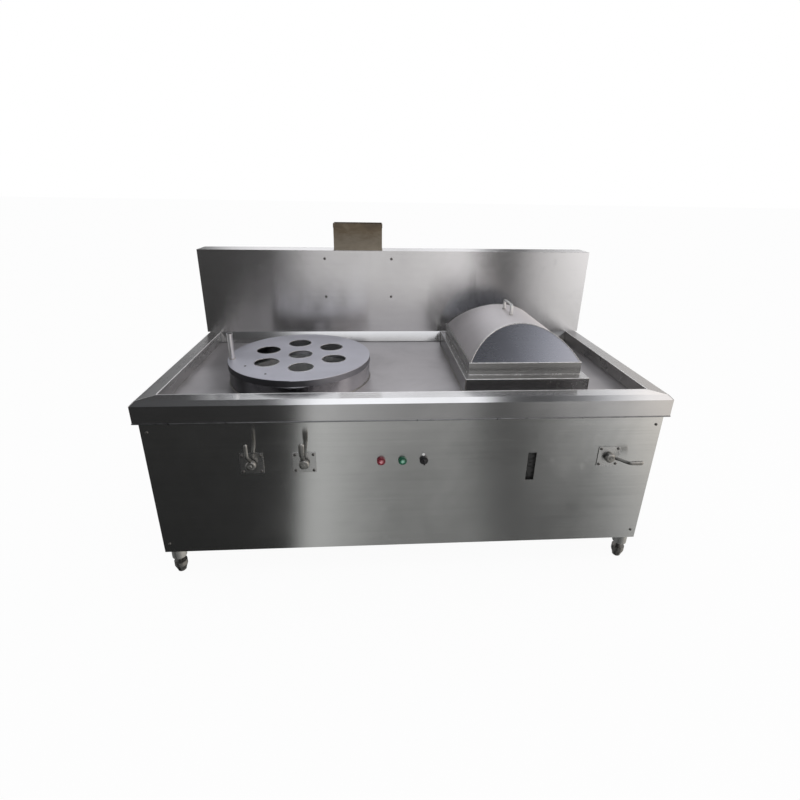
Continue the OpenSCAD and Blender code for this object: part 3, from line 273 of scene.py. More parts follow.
def cross_screw(centre: Array, axis: Array, radius: float, height: float, shank: Point) -> Shape:
    """Makes a pan head with a cross recess on a shank.

    The head is a polar height field: height (1 - 0.45 (r/R)^4), less a cross of two smooth grooves near the
    middle.

    Args:
        centre: The middle of the seat.
        axis: The way out of the head.
        radius: The head's radius.
        height: The head's height.
        shank: The shank's radius, its length, and the depth of the recess.

    Returns:
        The screw.
    """
    shank_r, shank_len, recess = shank
    r = np.concatenate([[0.0], np.linspace(0.06, 1, 16)])[:, None] * radius
    a = full_turn(48)[None, :]
    x, y = r * np.cos(a), r * np.sin(a)
    groove = np.minimum(np.abs(x), np.abs(y)) / (0.15 * radius)
    cut = (1 - smooth_step(groove - 0.4)) * (1 - smooth_step((r / radius - 0.5) * 8))
    top = height * (1 - 0.45 * (r / radius) ** 4) - recess * cut
    skirt_r = np.array([radius, shank_r, shank_r, 0.0])[:, None] + 0 * a
    skirt_h = np.array([0.0, 0.0, -shank_len, -shank_len])[:, None] + 0 * a
    rr = np.concatenate([r + 0 * a, skirt_r])
    hh = np.concatenate([top, skirt_h])
    side = unit(np.cross(axis, UP))
    lift = np.cross(side, axis)
    aa = np.broadcast_to(a, rr.shape)
    around = np.cos(aa)[..., None] * side + np.sin(aa)[..., None] * lift
    return grid(centre + hh[..., None] * axis + rr[..., None] * around)


class GrainAxis(Enum):
    """Which way the brush lines of a sheet run."""

    ALONG = (1.0, 0.0, 0.0)
    ACROSS = (0.0, 1.0, 0.0)
    UPRIGHT = (0.0, 0.0, 1.0)


class Shade:
    """A node tree that is written node by node."""

    def __init__(self, tree: bpy.types.NodeTree) -> None:
        """Starts with an empty tree."""
        self.tree = tree
        tree.nodes.clear()

    def add(self, kind: str, inputs: dict | None = None, **options: object) -> bpy.types.Node:
        """Adds a node.

        Args:
            kind: The node's type without its ShaderNode prefix.
            inputs: Values by socket name or number; a socket is linked and anything else is set.
            options: Properties of the node.

        Returns:
            The node.
        """
        node = self.tree.nodes.new("ShaderNode" + kind)
        for key, value in options.items():
            setattr(node, key, value)
        for key, value in (inputs or {}).items():
            if isinstance(value, Socket):
                self.tree.links.new(value, node.inputs[key])
            else:
                node.inputs[key].default_value = value
        return node

    def math(self, operation: str, *values: object) -> Socket:
        """Works one sum on numbers or sockets."""
        return self.add("Math", dict(enumerate(values)), operation=operation).outputs[0]

    def vector(self, operation: str, *values: object) -> Socket:
        """Works one sum on vectors or sockets."""
        return self.add("VectorMath", dict(enumerate(values)), operation=operation).outputs[0]

    def place(self, axis: str) -> Socket:
        """Gives one Object coordinate."""
        return self.add("SeparateXYZ", {0: self.add("TexCoord").outputs["Object"]}).outputs[axis]

    def facing(self) -> Socket:
        """Gives how far the surface faces up, from -1 to 1."""
        return self.add("SeparateXYZ", {0: self.add("NewGeometry").outputs["Normal"]}).outputs["Z"]

    def dimmed(self, colour: Socket, share: Socket) -> Socket:
        """Leaves a share of a colour."""
        return self.add("VectorMath", {0: colour, "Scale": share}, operation="SCALE").outputs[0]

    def noise(self, scale: float | Point, detail: float = 3.0, rough: float = 0.55,
              bend: float = 0.0) -> Socket:
        """Adds noise on Object coordinates.

        Args:
            scale: Waves per metre, one for all axes or one along each.
            detail: Octaves.
            rough: The weight of each octave.
            bend: Distortion.

        Returns:
            The noise between 0 and 1.
        """
        waves = (scale,) * 3 if isinstance(scale, float) else scale
        coordinates = self.add("TexCoord").outputs["Object"]
        scaled = self.add("Mapping", {"Vector": coordinates, "Scale": waves}).outputs[0]
        return self.add("TexNoise", {"Vector": scaled, "Scale": 1.0, "Detail": detail, "Roughness": rough,
                                     "Distortion": bend}).outputs["Fac"]

    def ramp(self, value: Socket, stops: list[tuple[float, Colour]]) -> Socket:
        """Colours a number by stops of place and colour."""
        node = self.add("ValToRGB", {0: value})
        while len(node.color_ramp.elements) < len(stops):
            node.color_ramp.elements.new(0.5)
        for element, (place, colour) in zip(node.color_ramp.elements, stops):
            element.position = place
            element.color = (*colour, 1.0)
        return node.outputs["Color"]

    def span(self, value: Socket, low: float, high: float, to_low: float | Socket, to_high: float) -> Socket:
        """Maps low..high onto to_low..to_high and holds the ends."""
        return self.add("MapRange", {"Value": value, "From Min": low, "From Max": high, "To Min": to_low,
                                     "To Max": to_high}).outputs["Result"]

    def bump(self, height: Socket, strength: float, depth: float) -> Socket:
        """Turns a height into a normal; depth is in metres."""
        return self.add("Bump", {"Height": height, "Strength": strength, "Distance": depth}).outputs["Normal"]

    def surface(self, inputs: dict) -> None:
        """Ends the tree with a Principled shader."""
        shader = self.add("BsdfPrincipled", inputs)
        self.add("OutputMaterial", {"Surface": shader.outputs[0]})


def shaded(colour: Colour, factor: float) -> Colour:
    """Makes a colour lighter or darker."""
    return tuple(min(1.0, c * factor) for c in colour)


@dataclass(frozen=True)
class Finish:
    """A finish that is written into a material once."""

    name: str
    colour: Colour

    def write(self, shade: Shade) -> None:
        """Writes the nodes."""
        raise NotImplementedError

    def mottled(self, shade: Shade, value: Socket, places: Point, dark: float, light: float) -> Socket:
        """Tints a noise at three places: a darker shade, the colour itself and a lighter shade."""
        colours = (shaded(self.colour, dark), self.colour, shaded(self.colour, light))
        return shade.ramp(value, list(zip(places, colours)))

    def material(self) -> bpy.types.Material:
        """Gives the finish's material, making it at first use."""
        name = self.name + "_finish"
        made = bpy.data.materials.get(name)
        if made is None:
            made = bpy.data.materials.new(name)
            made.use_nodes = True
            self.write(Shade(made.node_tree))
        return made


@dataclass(frozen=True)
class BrushedSteel(Finish):
    """Sheet with brush lines: its lobe is wide across them, and it is wiped and marked in soft clouds.

    Upright faces keep only a share of the colour: painted shade that darkens them against level faces. Warp
    bends the mirror image, as a slight bow in the sheet does.
    """

    roughness: float = 0.23
    stretch: float = 1.0
    grain: GrainAxis = GrainAxis.ALONG
    cloud: float = 0.12
    lines: float = 0.35
    upright_painted_shade: float = 1.0
    warp: Point = (0.0, 0.0, 0.0)

    def write(self, shade: Shade) -> None:
        """Streaks along the grain raise the bump and roughness, and clouds change tint and roughness."""
        along = np.array(self.grain.value)
        fine = shade.noise(tuple(1500 - 1488 * along), 2.0, 0.6)
        band = shade.noise(tuple(170 - 168.5 * along), 3.0, 0.6)
        cloud = shade.noise(3.1, 5.0, 0.6, 0.5)
        marks = shade.noise(26.0, 3.0, 0.7, 0.8)
        mixed = shade.math("ADD", shade.math("MULTIPLY", cloud, 0.78), shade.math("MULTIPLY", band, 0.22))
        tint = self.mottled(shade, mixed, (0.28, 0.5, 0.72), 1 - self.cloud, 1 + self.cloud * 0.6)
        # Painted shade: upright faces keep only a share of the colour, darker than level faces
        if self.upright_painted_shade < 1:
            tint = shade.dimmed(tint, shade.span(shade.facing(), 0.25, 0.6, self.upright_painted_shade, 1.0))
        spots = shade.span(marks, 0.62, 0.75, 0.0, 0.05)
        worn = shade.span(mixed, 0.3, 0.7, self.roughness - 0.03, self.roughness + 0.03)
        normal = shade.add("NewGeometry").outputs["Normal"]
        # A small push keeps the tangent from vanishing where the grain runs straight out of the sheet
        across = shade.vector("CROSS_PRODUCT", normal, tuple(along))
        tangent = shade.vector("ADD", across, (0.012, 0.011, 0.013))
        bumped = shade.bump(fine, self.lines, 0.00004)
        if any(self.warp):
            bumped = shade.vector("NORMALIZE", shade.vector("ADD", bumped, self.warp))
        shade.surface({"Base Color": tint, "Metallic": 1.0, "Roughness": shade.math("ADD", worn, spots),
                       "Anisotropic": self.stretch, "Tangent": tangent, "Normal": bumped})


@dataclass(frozen=True)
class SatinSteel(Finish):
    """Sheet without a strong grain: scuffed, with dried water rings and faint streaks.

    Upright and level faces keep only a share of the colour each: painted shade. A span given as
    (x0, x1, share) moves the upright share along x, from its own value at x0 to that share at x1: painted
    shade too.
    """

    roughness: float = 0.34
    scuff: float = 0.12
    grain: GrainAxis = GrainAxis.ALONG
    upright_painted_shade: float = 1.0
    level_painted_shade: float = 1.0
    painted_shade_along_x: Point | None = None

    def write(self, shade: Shade) -> None:
        """Clouds, drops and streaks change tint and roughness, and painted shade darkens faces by their slope
        and along x.
        """
        along = np.array(self.grain.value)
        streak = shade.noise(tuple(420 - 405 * along), 2.0, 0.6)
        cloud = shade.noise(5.5, 3.0, 0.55, 0.4)
        drops = shade.noise(38.0, 2.0, 0.5, 0.4)
        ring = shade.span(shade.math("ABSOLUTE", shade.math("SUBTRACT", drops, 0.6)), 0.0, 0.02, 0.01, 0.0)
        tint = self.mottled(shade, cloud, (0.3, 0.5, 0.7), 1 - self.scuff, 1 + self.scuff * 0.7)
        swing = 0.3 * self.scuff
        worn = shade.span(cloud, 0.3, 0.7, self.roughness - swing, self.roughness + swing)
        # Painted shade: upright and level faces keep only a share of the colour, the upright share changing
        # along x
        upright_painted_shade = self.upright_painted_shade
        if self.painted_shade_along_x:
            upright_painted_shade = shade.span(shade.place("X"), self.painted_shade_along_x[0], self.painted_shade_along_x[1], self.upright_painted_shade, self.painted_shade_along_x[2])
        tint = shade.dimmed(tint, shade.span(shade.facing(), 0.25, 0.7, upright_painted_shade, self.level_painted_shade))
        shade.surface({"Base Color": tint, "Metallic": 1.0, "Roughness": shade.math("ADD", worn, ring),
                       "Normal": shade.bump(streak, 0.05, 0.00001)})


@dataclass(frozen=True)
class HeatTintedSteel(Finish):
    """Sheet that flue gas has browned, with soot towards one end of its height."""

    low: float = 0.0
    high: float = 1.0
    roughness: float = 0.42

    def write(self, shade: Shade) -> None:
        """Height plus noise picks the colour from steel through straw and brown to soot."""
        cloud = shade.noise((14.0, 14.0, 30.0), 5.0, 0.65, 0.6)
        streak = shade.noise((160.0, 160.0, 5.0), 3.0, 0.6)
        rise = shade.span(shade.place("Z"), self.low, self.high, 0.0, 0.55)
        heat = shade.math("ADD", rise, shade.math("MULTIPLY", cloud, 0.5))
        tint = shade.ramp(heat, [(0.15, self.colour), (0.45, shaded(self.colour, 0.78)),
                                 (0.62, (0.21, 0.17, 0.12)), (0.85, (0.13, 0.11, 0.09))])
        worn = shade.span(cloud, 0.3, 0.7, self.roughness - 0.06, self.roughness + 0.12)
        shade.surface({"Base Color": tint, "Metallic": 1.0, "Roughness": worn,
                       "Normal": shade.bump(streak, 0.3, 0.00006)})


@dataclass(frozen=True)
class CastMetal(Finish):
    """Cast or bar metal: smooth and bright for levers, grainy and dull for burners and feet."""

    roughness: float = 0.22
    grainy: float = 0.2
    metallic: float = 1.0

    def write(self, shade: Shade) -> None:
        """Fine pits give the bump, and handling marks the tint and roughness."""
        pits = shade.noise(700.0, 3.0, 0.6)
        worn = shade.noise(45.0, 4.0, 0.6, 0.4)
        tint = self.mottled(shade, worn, (0.3, 0.5, 0.72), 0.78, 1.15)
        rough = shade.span(worn, 0.3, 0.7, self.roughness - 0.05, self.roughness + 0.09)
        shade.surface({"Base Color": tint, "Metallic": self.metallic, "Roughness": rough,
                       "Normal": shade.bump(pits, self.grainy, 0.00015)})


@dataclass(frozen=True)
class PaintedMetal(Finish):
    """Sprayed paint with a slight orange peel and rubbed patches."""

    roughness: float = 0.42

    def write(self, shade: Shade) -> None:
        """Orange peel gives the bump, and rubbed patches are lighter and smoother."""
        peel = shade.noise(380.0, 2.0, 0.5)
        rub = shade.noise(11.0, 5.0, 0.62, 0.5)
        tint = self.mottled(shade, rub, (0.32, 0.52, 0.72), 0.82, 1.12)
        rough = shade.span(rub, 0.3, 0.7, self.roughness + 0.08, self.roughness - 0.08)
        shade.surface({"Base Color": tint, "Roughness": rough, "Coat Weight": 0.15, "Coat Roughness": 0.3,
                       "Normal": shade.bump(peel, 0.3, 0.00012)})


@dataclass(frozen=True)
class LensPlastic(Finish):
    """Tinted button plastic with a glossy face: a painted highlight in the middle fades to painted shade at
    the rim.
    """

    painted_highlight: Colour = (1.0, 1.0, 1.0)
    place: tuple[float, float] = (0.0, 0.0)
    radius: float = 0.0105
    roughness: float = 0.16

    def write(self, shade: Shade) -> None:
        """The colour goes from a pale middle, a painted highlight, to painted shade at the rim, and fine
        handling marks roughen the face.
        """
        across = shade.math("SUBTRACT", shade.place("X"), self.place[0])
        upward = shade.math("SUBTRACT", shade.place("Z"), self.place[1])
        ring = shade.math("SQRT", shade.math("ADD", shade.math("MULTIPLY", across, across),
                                             shade.math("MULTIPLY", upward, upward)))
        # Painted highlight and shade: the colour follows the distance from the lens's middle
        highlight_fade = shade.math("ADD", shade.math("DIVIDE", ring, self.radius),
                         shade.span(shade.noise(260.0), 0.3, 0.7, -0.08, 0.08))
        rub = shade.noise(420.0, 3.0, 0.6)
        tint = shade.ramp(highlight_fade, [(0.25, self.painted_highlight), (0.72, self.colour), (1.0, shaded(self.colour, 0.35))])
        rough = shade.span(rub, 0.35, 0.7, self.roughness, self.roughness + 0.12)
        shade.surface({"Base Color": tint, "Roughness": rough, "Transmission Weight": 0.25, "IOR": 1.49,
                       "Coat Weight": 0.6, "Coat Roughness": 0.05, "Normal": shade.bump(rub, 0.08, 0.0001)})


@dataclass(frozen=True)
class MouldedPlastic(Finish):
    """Moulded plastic with a fine spark texture."""

    roughness: float = 0.38

    def write(self, shade: Shade) -> None:
        """A fine texture gives the bump, and finger marks smooth it in patches."""
        spark = shade.noise(1400.0, 2.0, 0.6)
        rub = shade.noise(60.0, 4.0, 0.6, 0.3)
        tint = shade.ramp(rub, [(0.3, shaded(self.colour, 0.8)), (0.7, shaded(self.colour, 1.25))])
        rough = shade.span(rub, 0.3, 0.7, self.roughness - 0.08, self.roughness + 0.08)
        shade.surface({"Base Color": tint, "Roughness": rough, "Normal": shade.bump(spark, 0.2, 0.0001)})


STEEL: Colour = (0.60, 0.60, 0.59)
PANEL = BrushedSteel("panel_brushed_steel", STEEL, roughness=0.17, lines=0.25)
VALVE_PLATE = BrushedSteel("valve_plate_steel", (0.50, 0.50, 0.49), roughness=0.27)
# Painted shade: the front rim's upright faces keep 76% of its colour
RIM_FRONT = BrushedSteel("rim_front_steel", (0.72, 0.715, 0.715), roughness=0.17, upright_painted_shade=0.76)
RIM_SIDE = BrushedSteel("rim_side_steel", (0.45, 0.445, 0.44), roughness=0.28, stretch=0.9,
                        grain=GrainAxis.ACROSS, lines=0.06)
SIDE = BrushedSteel("side_panel_steel", STEEL, grain=GrainAxis.ACROSS, lines=0.1)
SPLASH = BrushedSteel("splash_steel", (0.70, 0.69, 0.69), roughness=0.19, cloud=0.16)
DECK = SatinSteel("deck_steel", (0.49, 0.475, 0.485), roughness=0.42, scuff=0.16)
# Painted shade: the drum wall's upright faces keep a tenth of the colour at the left, all of it from x =
# -0.42
DRUM = SatinSteel("drum_wall_steel", (0.54, 0.54, 0.57), roughness=0.14, scuff=0.08, upright_painted_shade=0.10,
                  painted_shade_along_x=(-0.58, -0.42, 1.0))
# Painted shade: the steam plate's upright faces keep 11% of the colour at the left, 60% from x = -0.25
PLATE = SatinSteel("steam_plate_steel", (0.58, 0.58, 0.635), roughness=0.52, upright_painted_shade=0.11,
                   painted_shade_along_x=(-0.36, -0.25, 0.6))
VENT = SatinSteel("vent_pipe_steel", (0.64, 0.64, 0.65), roughness=0.36)
POT = SatinSteel("boiler_pot_steel", (0.86, 0.86, 0.86), roughness=0.62)
# Painted shade: the trough, frame and grid keep 66% of the colour on upright faces
TRAY = SatinSteel("tray_steel", (0.58, 0.575, 0.57), roughness=0.26, scuff=0.06, upright_painted_shade=0.66)
# Painted shade: the lid skirt keeps 58% of its colour on upright faces and 25% on level ones
SKIRT = SatinSteel("lid_skirt_steel", (0.52, 0.515, 0.50), roughness=0.22, scuff=0.06, upright_painted_shade=0.58, level_painted_shade=0.25)
LID = BrushedSteel("lid_arch_steel", (0.71, 0.685, 0.695), roughness=0.60, stretch=0.2,
                   grain=GrainAxis.ACROSS)
# Painted reflection: the end plates' slate-blue tint stands for the sky mirrored in them
LID_END_PAINTED_SKY = BrushedSteel("lid_end_painted_sky_steel", (0.38, 0.39, 0.44), roughness=0.27, cloud=0.06, lines=0.06,
                       warp=(0.07, 0.0, 0.0))
FLUE = HeatTintedSteel("flue_outlet_steel", (0.36, 0.315, 0.25), low=1.09, high=1.24)
INNER = SatinSteel("inner_sheet_steel", (0.48, 0.475, 0.46), roughness=0.4)
FIREBOX = HeatTintedSteel("firebox_steel", (0.36, 0.33, 0.29), low=0.62, high=0.2)
LEG = BrushedSteel("leg_steel", STEEL, roughness=0.3, grain=GrainAxis.UPRIGHT)
WELD = CastMetal("weld_bead", (0.40, 0.385, 0.36), roughness=0.34, grainy=0.35)
HEM = CastMetal("hem_edge", (0.66, 0.65, 0.64), roughness=0.22, grainy=0.05)
# Painted shade: the apron's rolled edge is dark to stand for the shadow line under the apron
ROLLED_SHADE = CastMetal("rolled_edge_shade", (0.24, 0.24, 0.245), roughness=0.30, grainy=0.05)
# Painted highlight: folded edges are paler than any sheet, for the bright lines along them
EDGE_HIGHLIGHT = CastMetal("folded_edge_highlight", (0.86, 0.855, 0.85), roughness=0.40, grainy=0.05)
CHROME = CastMetal("handle_chrome", (0.70, 0.70, 0.69), roughness=0.34, grainy=0.06)
LEVER = CastMetal("lever_cast", (0.36, 0.355, 0.34), roughness=0.30, grainy=0.18)
SCREW = CastMetal("screw_metal", (0.16, 0.155, 0.15), roughness=0.34, grainy=0.12)
BRASS = CastMetal("gas_brass", (0.62, 0.44, 0.18), roughness=0.32, grainy=0.2)
IRON = CastMetal("burner_iron", (0.09, 0.085, 0.08), roughness=0.62, grainy=0.7, metallic=0.6)
FOOT = CastMetal("foot_metal", (0.25, 0.245, 0.235), roughness=0.35, grainy=0.1)
BLOWER = PaintedMetal("blower_paint", (0.10, 0.13, 0.16))
BOX = PaintedMetal("control_box_paint", (0.42, 0.43, 0.42))
# Each lens's second colour is the pale middle of its painted highlight
RED = LensPlastic("stop_lens_red", (0.40, 0.035, 0.06), (0.86, 0.40, 0.44), (-0.099, 0.482))
GREEN = LensPlastic("start_lens_green", (0.015, 0.22, 0.11), (0.40, 0.74, 0.57), (-0.0245, 0.482))
RED_RING = MouldedPlastic("stop_ring_red", (0.20, 0.018, 0.032), roughness=0.3)
GREEN_RING = MouldedPlastic("start_ring_green", (0.008, 0.105, 0.055), roughness=0.3)
BLACK = MouldedPlastic("black_plastic", (0.018, 0.018, 0.019))
WHITE = MouldedPlastic("index_white", (0.80, 0.80, 0.79), roughness=0.3)
# Painted shade: a near-black pane behind the sight slot stands for the dark inside of the firebox
SIGHT_SHADE_PANE = MouldedPlastic("sight_pane_shade", (0.030, 0.030, 0.029), roughness=0.3)


def dress(finish: Finish, *nodes: str) -> None:
    """Puts a finish on CAD nodes."""
    for name in nodes:
        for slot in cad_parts[name].material_slots:
            slot.material = finish.material()


def piece(name: str, shape: Shape, finish: Finish, body: str = "table",
          sharp: float = 38.0) -> bpy.types.Object:
    """Makes a piece from a shape: poles and seams are merged and its faces turned outwards.

    Args:
        name: The piece's name.
        shape: Its points and faces.
        finish: Its finish.
        body: The CAD body that it rides on.
        sharp: The angle past which an edge stays sharp.

    Returns:
        The piece.
    """
    mesh = bpy.data.meshes.new(name)
    mesh.from_pydata(shape.points.tolist(), [], shape.faces.tolist())
    made = bmesh.new()
    made.from_mesh(mesh)
    bmesh.ops.remove_doubles(made, verts=made.verts, dist=1e-6)
    bmesh.ops.recalc_face_normals(made, faces=made.faces)
    made.to_mesh(mesh)
    made.free()
    mesh.polygons.foreach_set("use_smooth", np.ones(len(mesh.polygons), dtype=bool))
    mesh.set_sharp_from_angle(angle=np.radians(sharp))
    mesh.materials.append(finish.material())
    made_object = bpy.data.objects.new(name, mesh)
    bpy.context.scene.collection.objects.link(made_object)
    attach(made_object, body)
    LOG.info("%s: %d faces on %s", name, len(mesh.polygons), body)
    return made_object


@dataclass
class Studio:
    """The floor, the room that the steel mirrors, one overhead lamp and the camera.

    Each light is a row of stops along one part of a ray's direction: the place, from -1 to 1, and the
    brightness of the backdrop there. Floor, wall and sky follow each other upwards, and the rises say where
    one gives way to the next. The back light is seen by rays that leave the table towards the back.
    """

    eye: Point = (-0.13961, -1.79485, 1.35560)
    yaw: float = -0.0693
    pitch: float = 0.3719
    roll: float = 0.01682
    lens: float = 20.749
    sensor: float = 36.0
    shift: tuple[float, float] = (0.0019, -0.0365)
    floor_half: float = 60.0
    floor_white: float = 0.95
    lamp_at: Point = (0.4, -0.4, 3.2)
    lamp_size: tuple[float, float] = (3.0, 2.0)
    lamp_power: float = 18.0
    soft_light: float = 0.7
    wall_rise: tuple[float, float] = (-0.32, -0.19)
    sky_rise: tuple[float, float] = (0.15, 0.5)
    back_rise: tuple[float, float] = (0.0, 0.2)
    warm_rise: tuple[float, float] = (0.47, 0.57)
    floor_light: Stops = (
        *LEFT_FLAG, (-0.20, 0.06), (-0.158, 0.09), (-0.140, 0.70), (-0.12, 1.20),
        (-0.09, 1.12), (-0.05, 0.90), (0.0, 0.70), (0.05, 0.54), (0.10, 0.46), (0.20, 0.46), (0.24, 0.31),
        (0.285, 0.22), (0.35, 0.26), (0.40, 0.33), (0.44, 0.47), (0.49, 0.90), (0.55, 1.4), (1.0, 1.4))
    wall_light: Stops = (
        *LEFT_FLAG, (-0.20, 0.08), (-0.165, 0.24), (-0.125, 0.50), (-0.055, 0.68),
        (0.07, 0.80), (0.19, 1.12), (0.218, 1.0), (0.243, 0.20), (0.28, 0.11), (0.31, 0.24), (0.34, 0.78),
        (0.395, 1.25), (0.43, 1.45), (1.0, 1.45))
    sky_light: Stops = (
        *LEFT_FLAG, (-0.20, 0.10), (-0.16, 0.60), (-0.12, 1.12), (0.0, 1.12),
        (0.15, 1.06), (0.243, 1.08), (0.272, 0.24), (0.295, 0.08), (0.36, 0.08), (0.40, 0.14), (0.44, 0.24),
        (0.465, 0.45), (0.50, 0.8), (0.53, 1.05), (1.0, 1.1))
    back_light: Stops = (
        (-1.0, 0.0), (-0.36, 0.05), (-0.31, 0.35), (-0.27, 0.85), (-0.22, 1.05), (-0.12, 1.1), (-0.03, 1.0),
        (0.1, 0.0), (1.0, 0.0))
    height_light: Stops = (
        (-1.0, 0.34), (-0.65, 0.50), (-0.42, 0.55), (-0.28, 0.88), (-0.12, 0.97), (0.15, 1.0), (0.5, 1.12),
        (1.0, 1.22))

    def camera(self) -> None:
        """Stands the camera where the photograph was taken."""
        right = np.array([np.cos(self.yaw), np.sin(self.yaw), 0])
        level = np.array([-np.sin(self.yaw), np.cos(self.yaw), 0])
        ahead = np.cos(self.pitch) * level - np.sin(self.pitch) * UP
        above = np.sin(self.pitch) * level + np.cos(self.pitch) * UP
        turned_right = np.cos(self.roll) * right + np.sin(self.roll) * above
        turned_above = np.cos(self.roll) * above - np.sin(self.roll) * right
        data = bpy.data.cameras.new("camera")
        data.sensor_width = self.sensor
        data.lens = self.lens
        data.shift_x, data.shift_y = self.shift
        eye = bpy.data.objects.new("camera", data)
        turn = np.column_stack([turned_right, turned_above, -ahead])
        eye.matrix_world = Matrix.Translation(self.eye) @ Matrix(turn.tolist()).to_4x4()
        bpy.context.scene.collection.objects.link(eye)
        bpy.context.scene.camera = eye

    def floor(self) -> None:
        """Lays a pale floor that keeps the object's shadow; the room stands for it in the steel."""
        h = self.floor_half
        mesh = bpy.data.meshes.new("floor")
        mesh.from_pydata([(-h, -h, 0), (h, -h, 0), (h, h, 0), (-h, h, 0)], [], [(0, 1, 2, 3)])
        material = bpy.data.materials.new("floor")
        material.use_nodes = True
        shade = Shade(material.node_tree)
        dust = shade.ramp(shade.noise(2.0), [(0.3, (0.90, 0.90, 0.90)), (0.7, (0.94, 0.94, 0.94))])
        matte = shade.add("BsdfPrincipled", {"Base Color": dust, "Roughness": 0.9}).outputs[0]
        white = shade.add("Emission", {"Color": (1, 1, 1, 1), "Strength": 1.0}).outputs[0]
        seen = shade.math("MULTIPLY", shade.add("LightPath").outputs["Is Camera Ray"], self.floor_white)
        mixed = shade.add("MixShader", {0: seen, 1: matte, 2: white}).outputs[0]
        shade.add("OutputMaterial", {"Surface": mixed})
        mesh.materials.append(material)
        ground = bpy.data.objects.new("floor", mesh)
        ground.visible_glossy = False
        bpy.context.scene.collection.objects.link(ground)

    def room(self) -> None:
        """Writes the white backdrop: metal and glass see it with a dark flag at the left and at the right.

        Camera rays see plain white. Glossy and transmission rays see the same white behind the flags, and it
        falls off towards the floor. Diffuse rays see the backdrop as an even soft light.
        """
        world = bpy.data.worlds.new("room")
        bpy.context.scene.world = world
        world.use_nodes = True
        shade = Shade(world.node_tree)
        x, y, z = shade.add("SeparateXYZ", {0: shade.add("TexCoord").outputs["Generated"]}).outputs
        floor, wall, sky = (self.strip(shade, x, stops)
                            for stops in (self.floor_light, self.wall_light, self.sky_light))
        low = self.between(shade, shade.span(z, *self.wall_rise, 0.0, 1.0), floor, wall)
        front = self.between(shade, shade.span(z, *self.sky_rise, 0.0, 1.0), low, sky)
        away = shade.span(y, *self.back_rise, 0.0, 1.0)
        behind = shade.math("MULTIPLY", away, self.strip(shade, x, self.back_light))
        side = shade.math("MAXIMUM", front, behind)
        level = shade.math("MULTIPLY", side, self.strip(shade, z, self.height_light))
        cool = shade.ramp(shade.span(z, -1, 1, 0, 1),
                          [(0.28, (0.985, 1.0, 0.99)), (0.40, (1.0, 0.985, 0.98)), (0.5, (1.0, 0.98, 0.975)),
                           (0.75, (0.95, 0.965, 1.0))])
        right = shade.span(x, *self.warm_rise, 0.0, 1.0)
        warm = shade.ramp(right, [(0.0, (1, 1, 1)), (1.0, (1.0, 0.94, 0.88))])
        tint = shade.vector("MULTIPLY", cool, warm)
        path = shade.add("LightPath").outputs
        soft = shade.add("Background", {"Color": tint, "Strength": self.soft_light}).outputs[0]
        flagged = shade.add("Background", {"Color": tint, "Strength": level}).outputs[0]
        white = shade.add("Background", {"Color": (1, 1, 1, 1), "Strength": 1.0}).outputs[0]
        mirrored = shade.math("MAXIMUM", path["Is Glossy Ray"], path["Is Transmission Ray"])
        lit = shade.add("MixShader", {0: mirrored, 1: soft, 2: flagged}).outputs[0]
        seen = shade.add("MixShader", {0: path["Is Camera Ray"], 1: lit, 2: white}).outputs[0]
        shade.add("OutputWorld", {"Surface": seen})

    @staticmethod
    def between(shade: Shade, share: Socket, low: Socket, high: Socket) -> Socket:
        """Goes from low to high by a share: low + share (high - low)."""
        return shade.math("ADD", low, shade.math("MULTIPLY", share, shade.math("SUBTRACT", high, low)))

    @staticmethod
    def strip(shade: Shade, value: Socket, stops: Stops) -> Socket:
        """Reads a brightness off stops along one part of the direction.

        Args:
            shade: The tree.
            value: The part of the direction, from -1 to 1.
            stops: Pairs of place and brightness, at most 2.

        Returns:
            The brightness.
        """
        grey = shade.ramp(shade.span(value, -1, 1, 0, 1), [((p + 1) / 2, (b / 2,) * 3) for p, b in stops])
        return shade.math("MULTIPLY", grey, 2.0)

    def lamp(self) -> None:
        """Hangs one large soft lamp over the table; in the steel the backdrop stands for it."""
        data = bpy.data.lights.new("overhead", "AREA")
        data.shape = "RECTANGLE"
        data.size, data.size_y = self.lamp_size
        data.energy = self.lamp_power
        lamp = bpy.data.objects.new("overhead", data)
        lamp.location = self.lamp_at
        lamp.visible_glossy = False
        bpy.context.scene.collection.objects.link(lamp)

    def build(self) -> None:
        """Sets up the whole studio."""
        bpy.context.scene.view_settings.view_transform = "Standard"
        self.camera()
        self.floor()
        self.room()
        self.lamp()


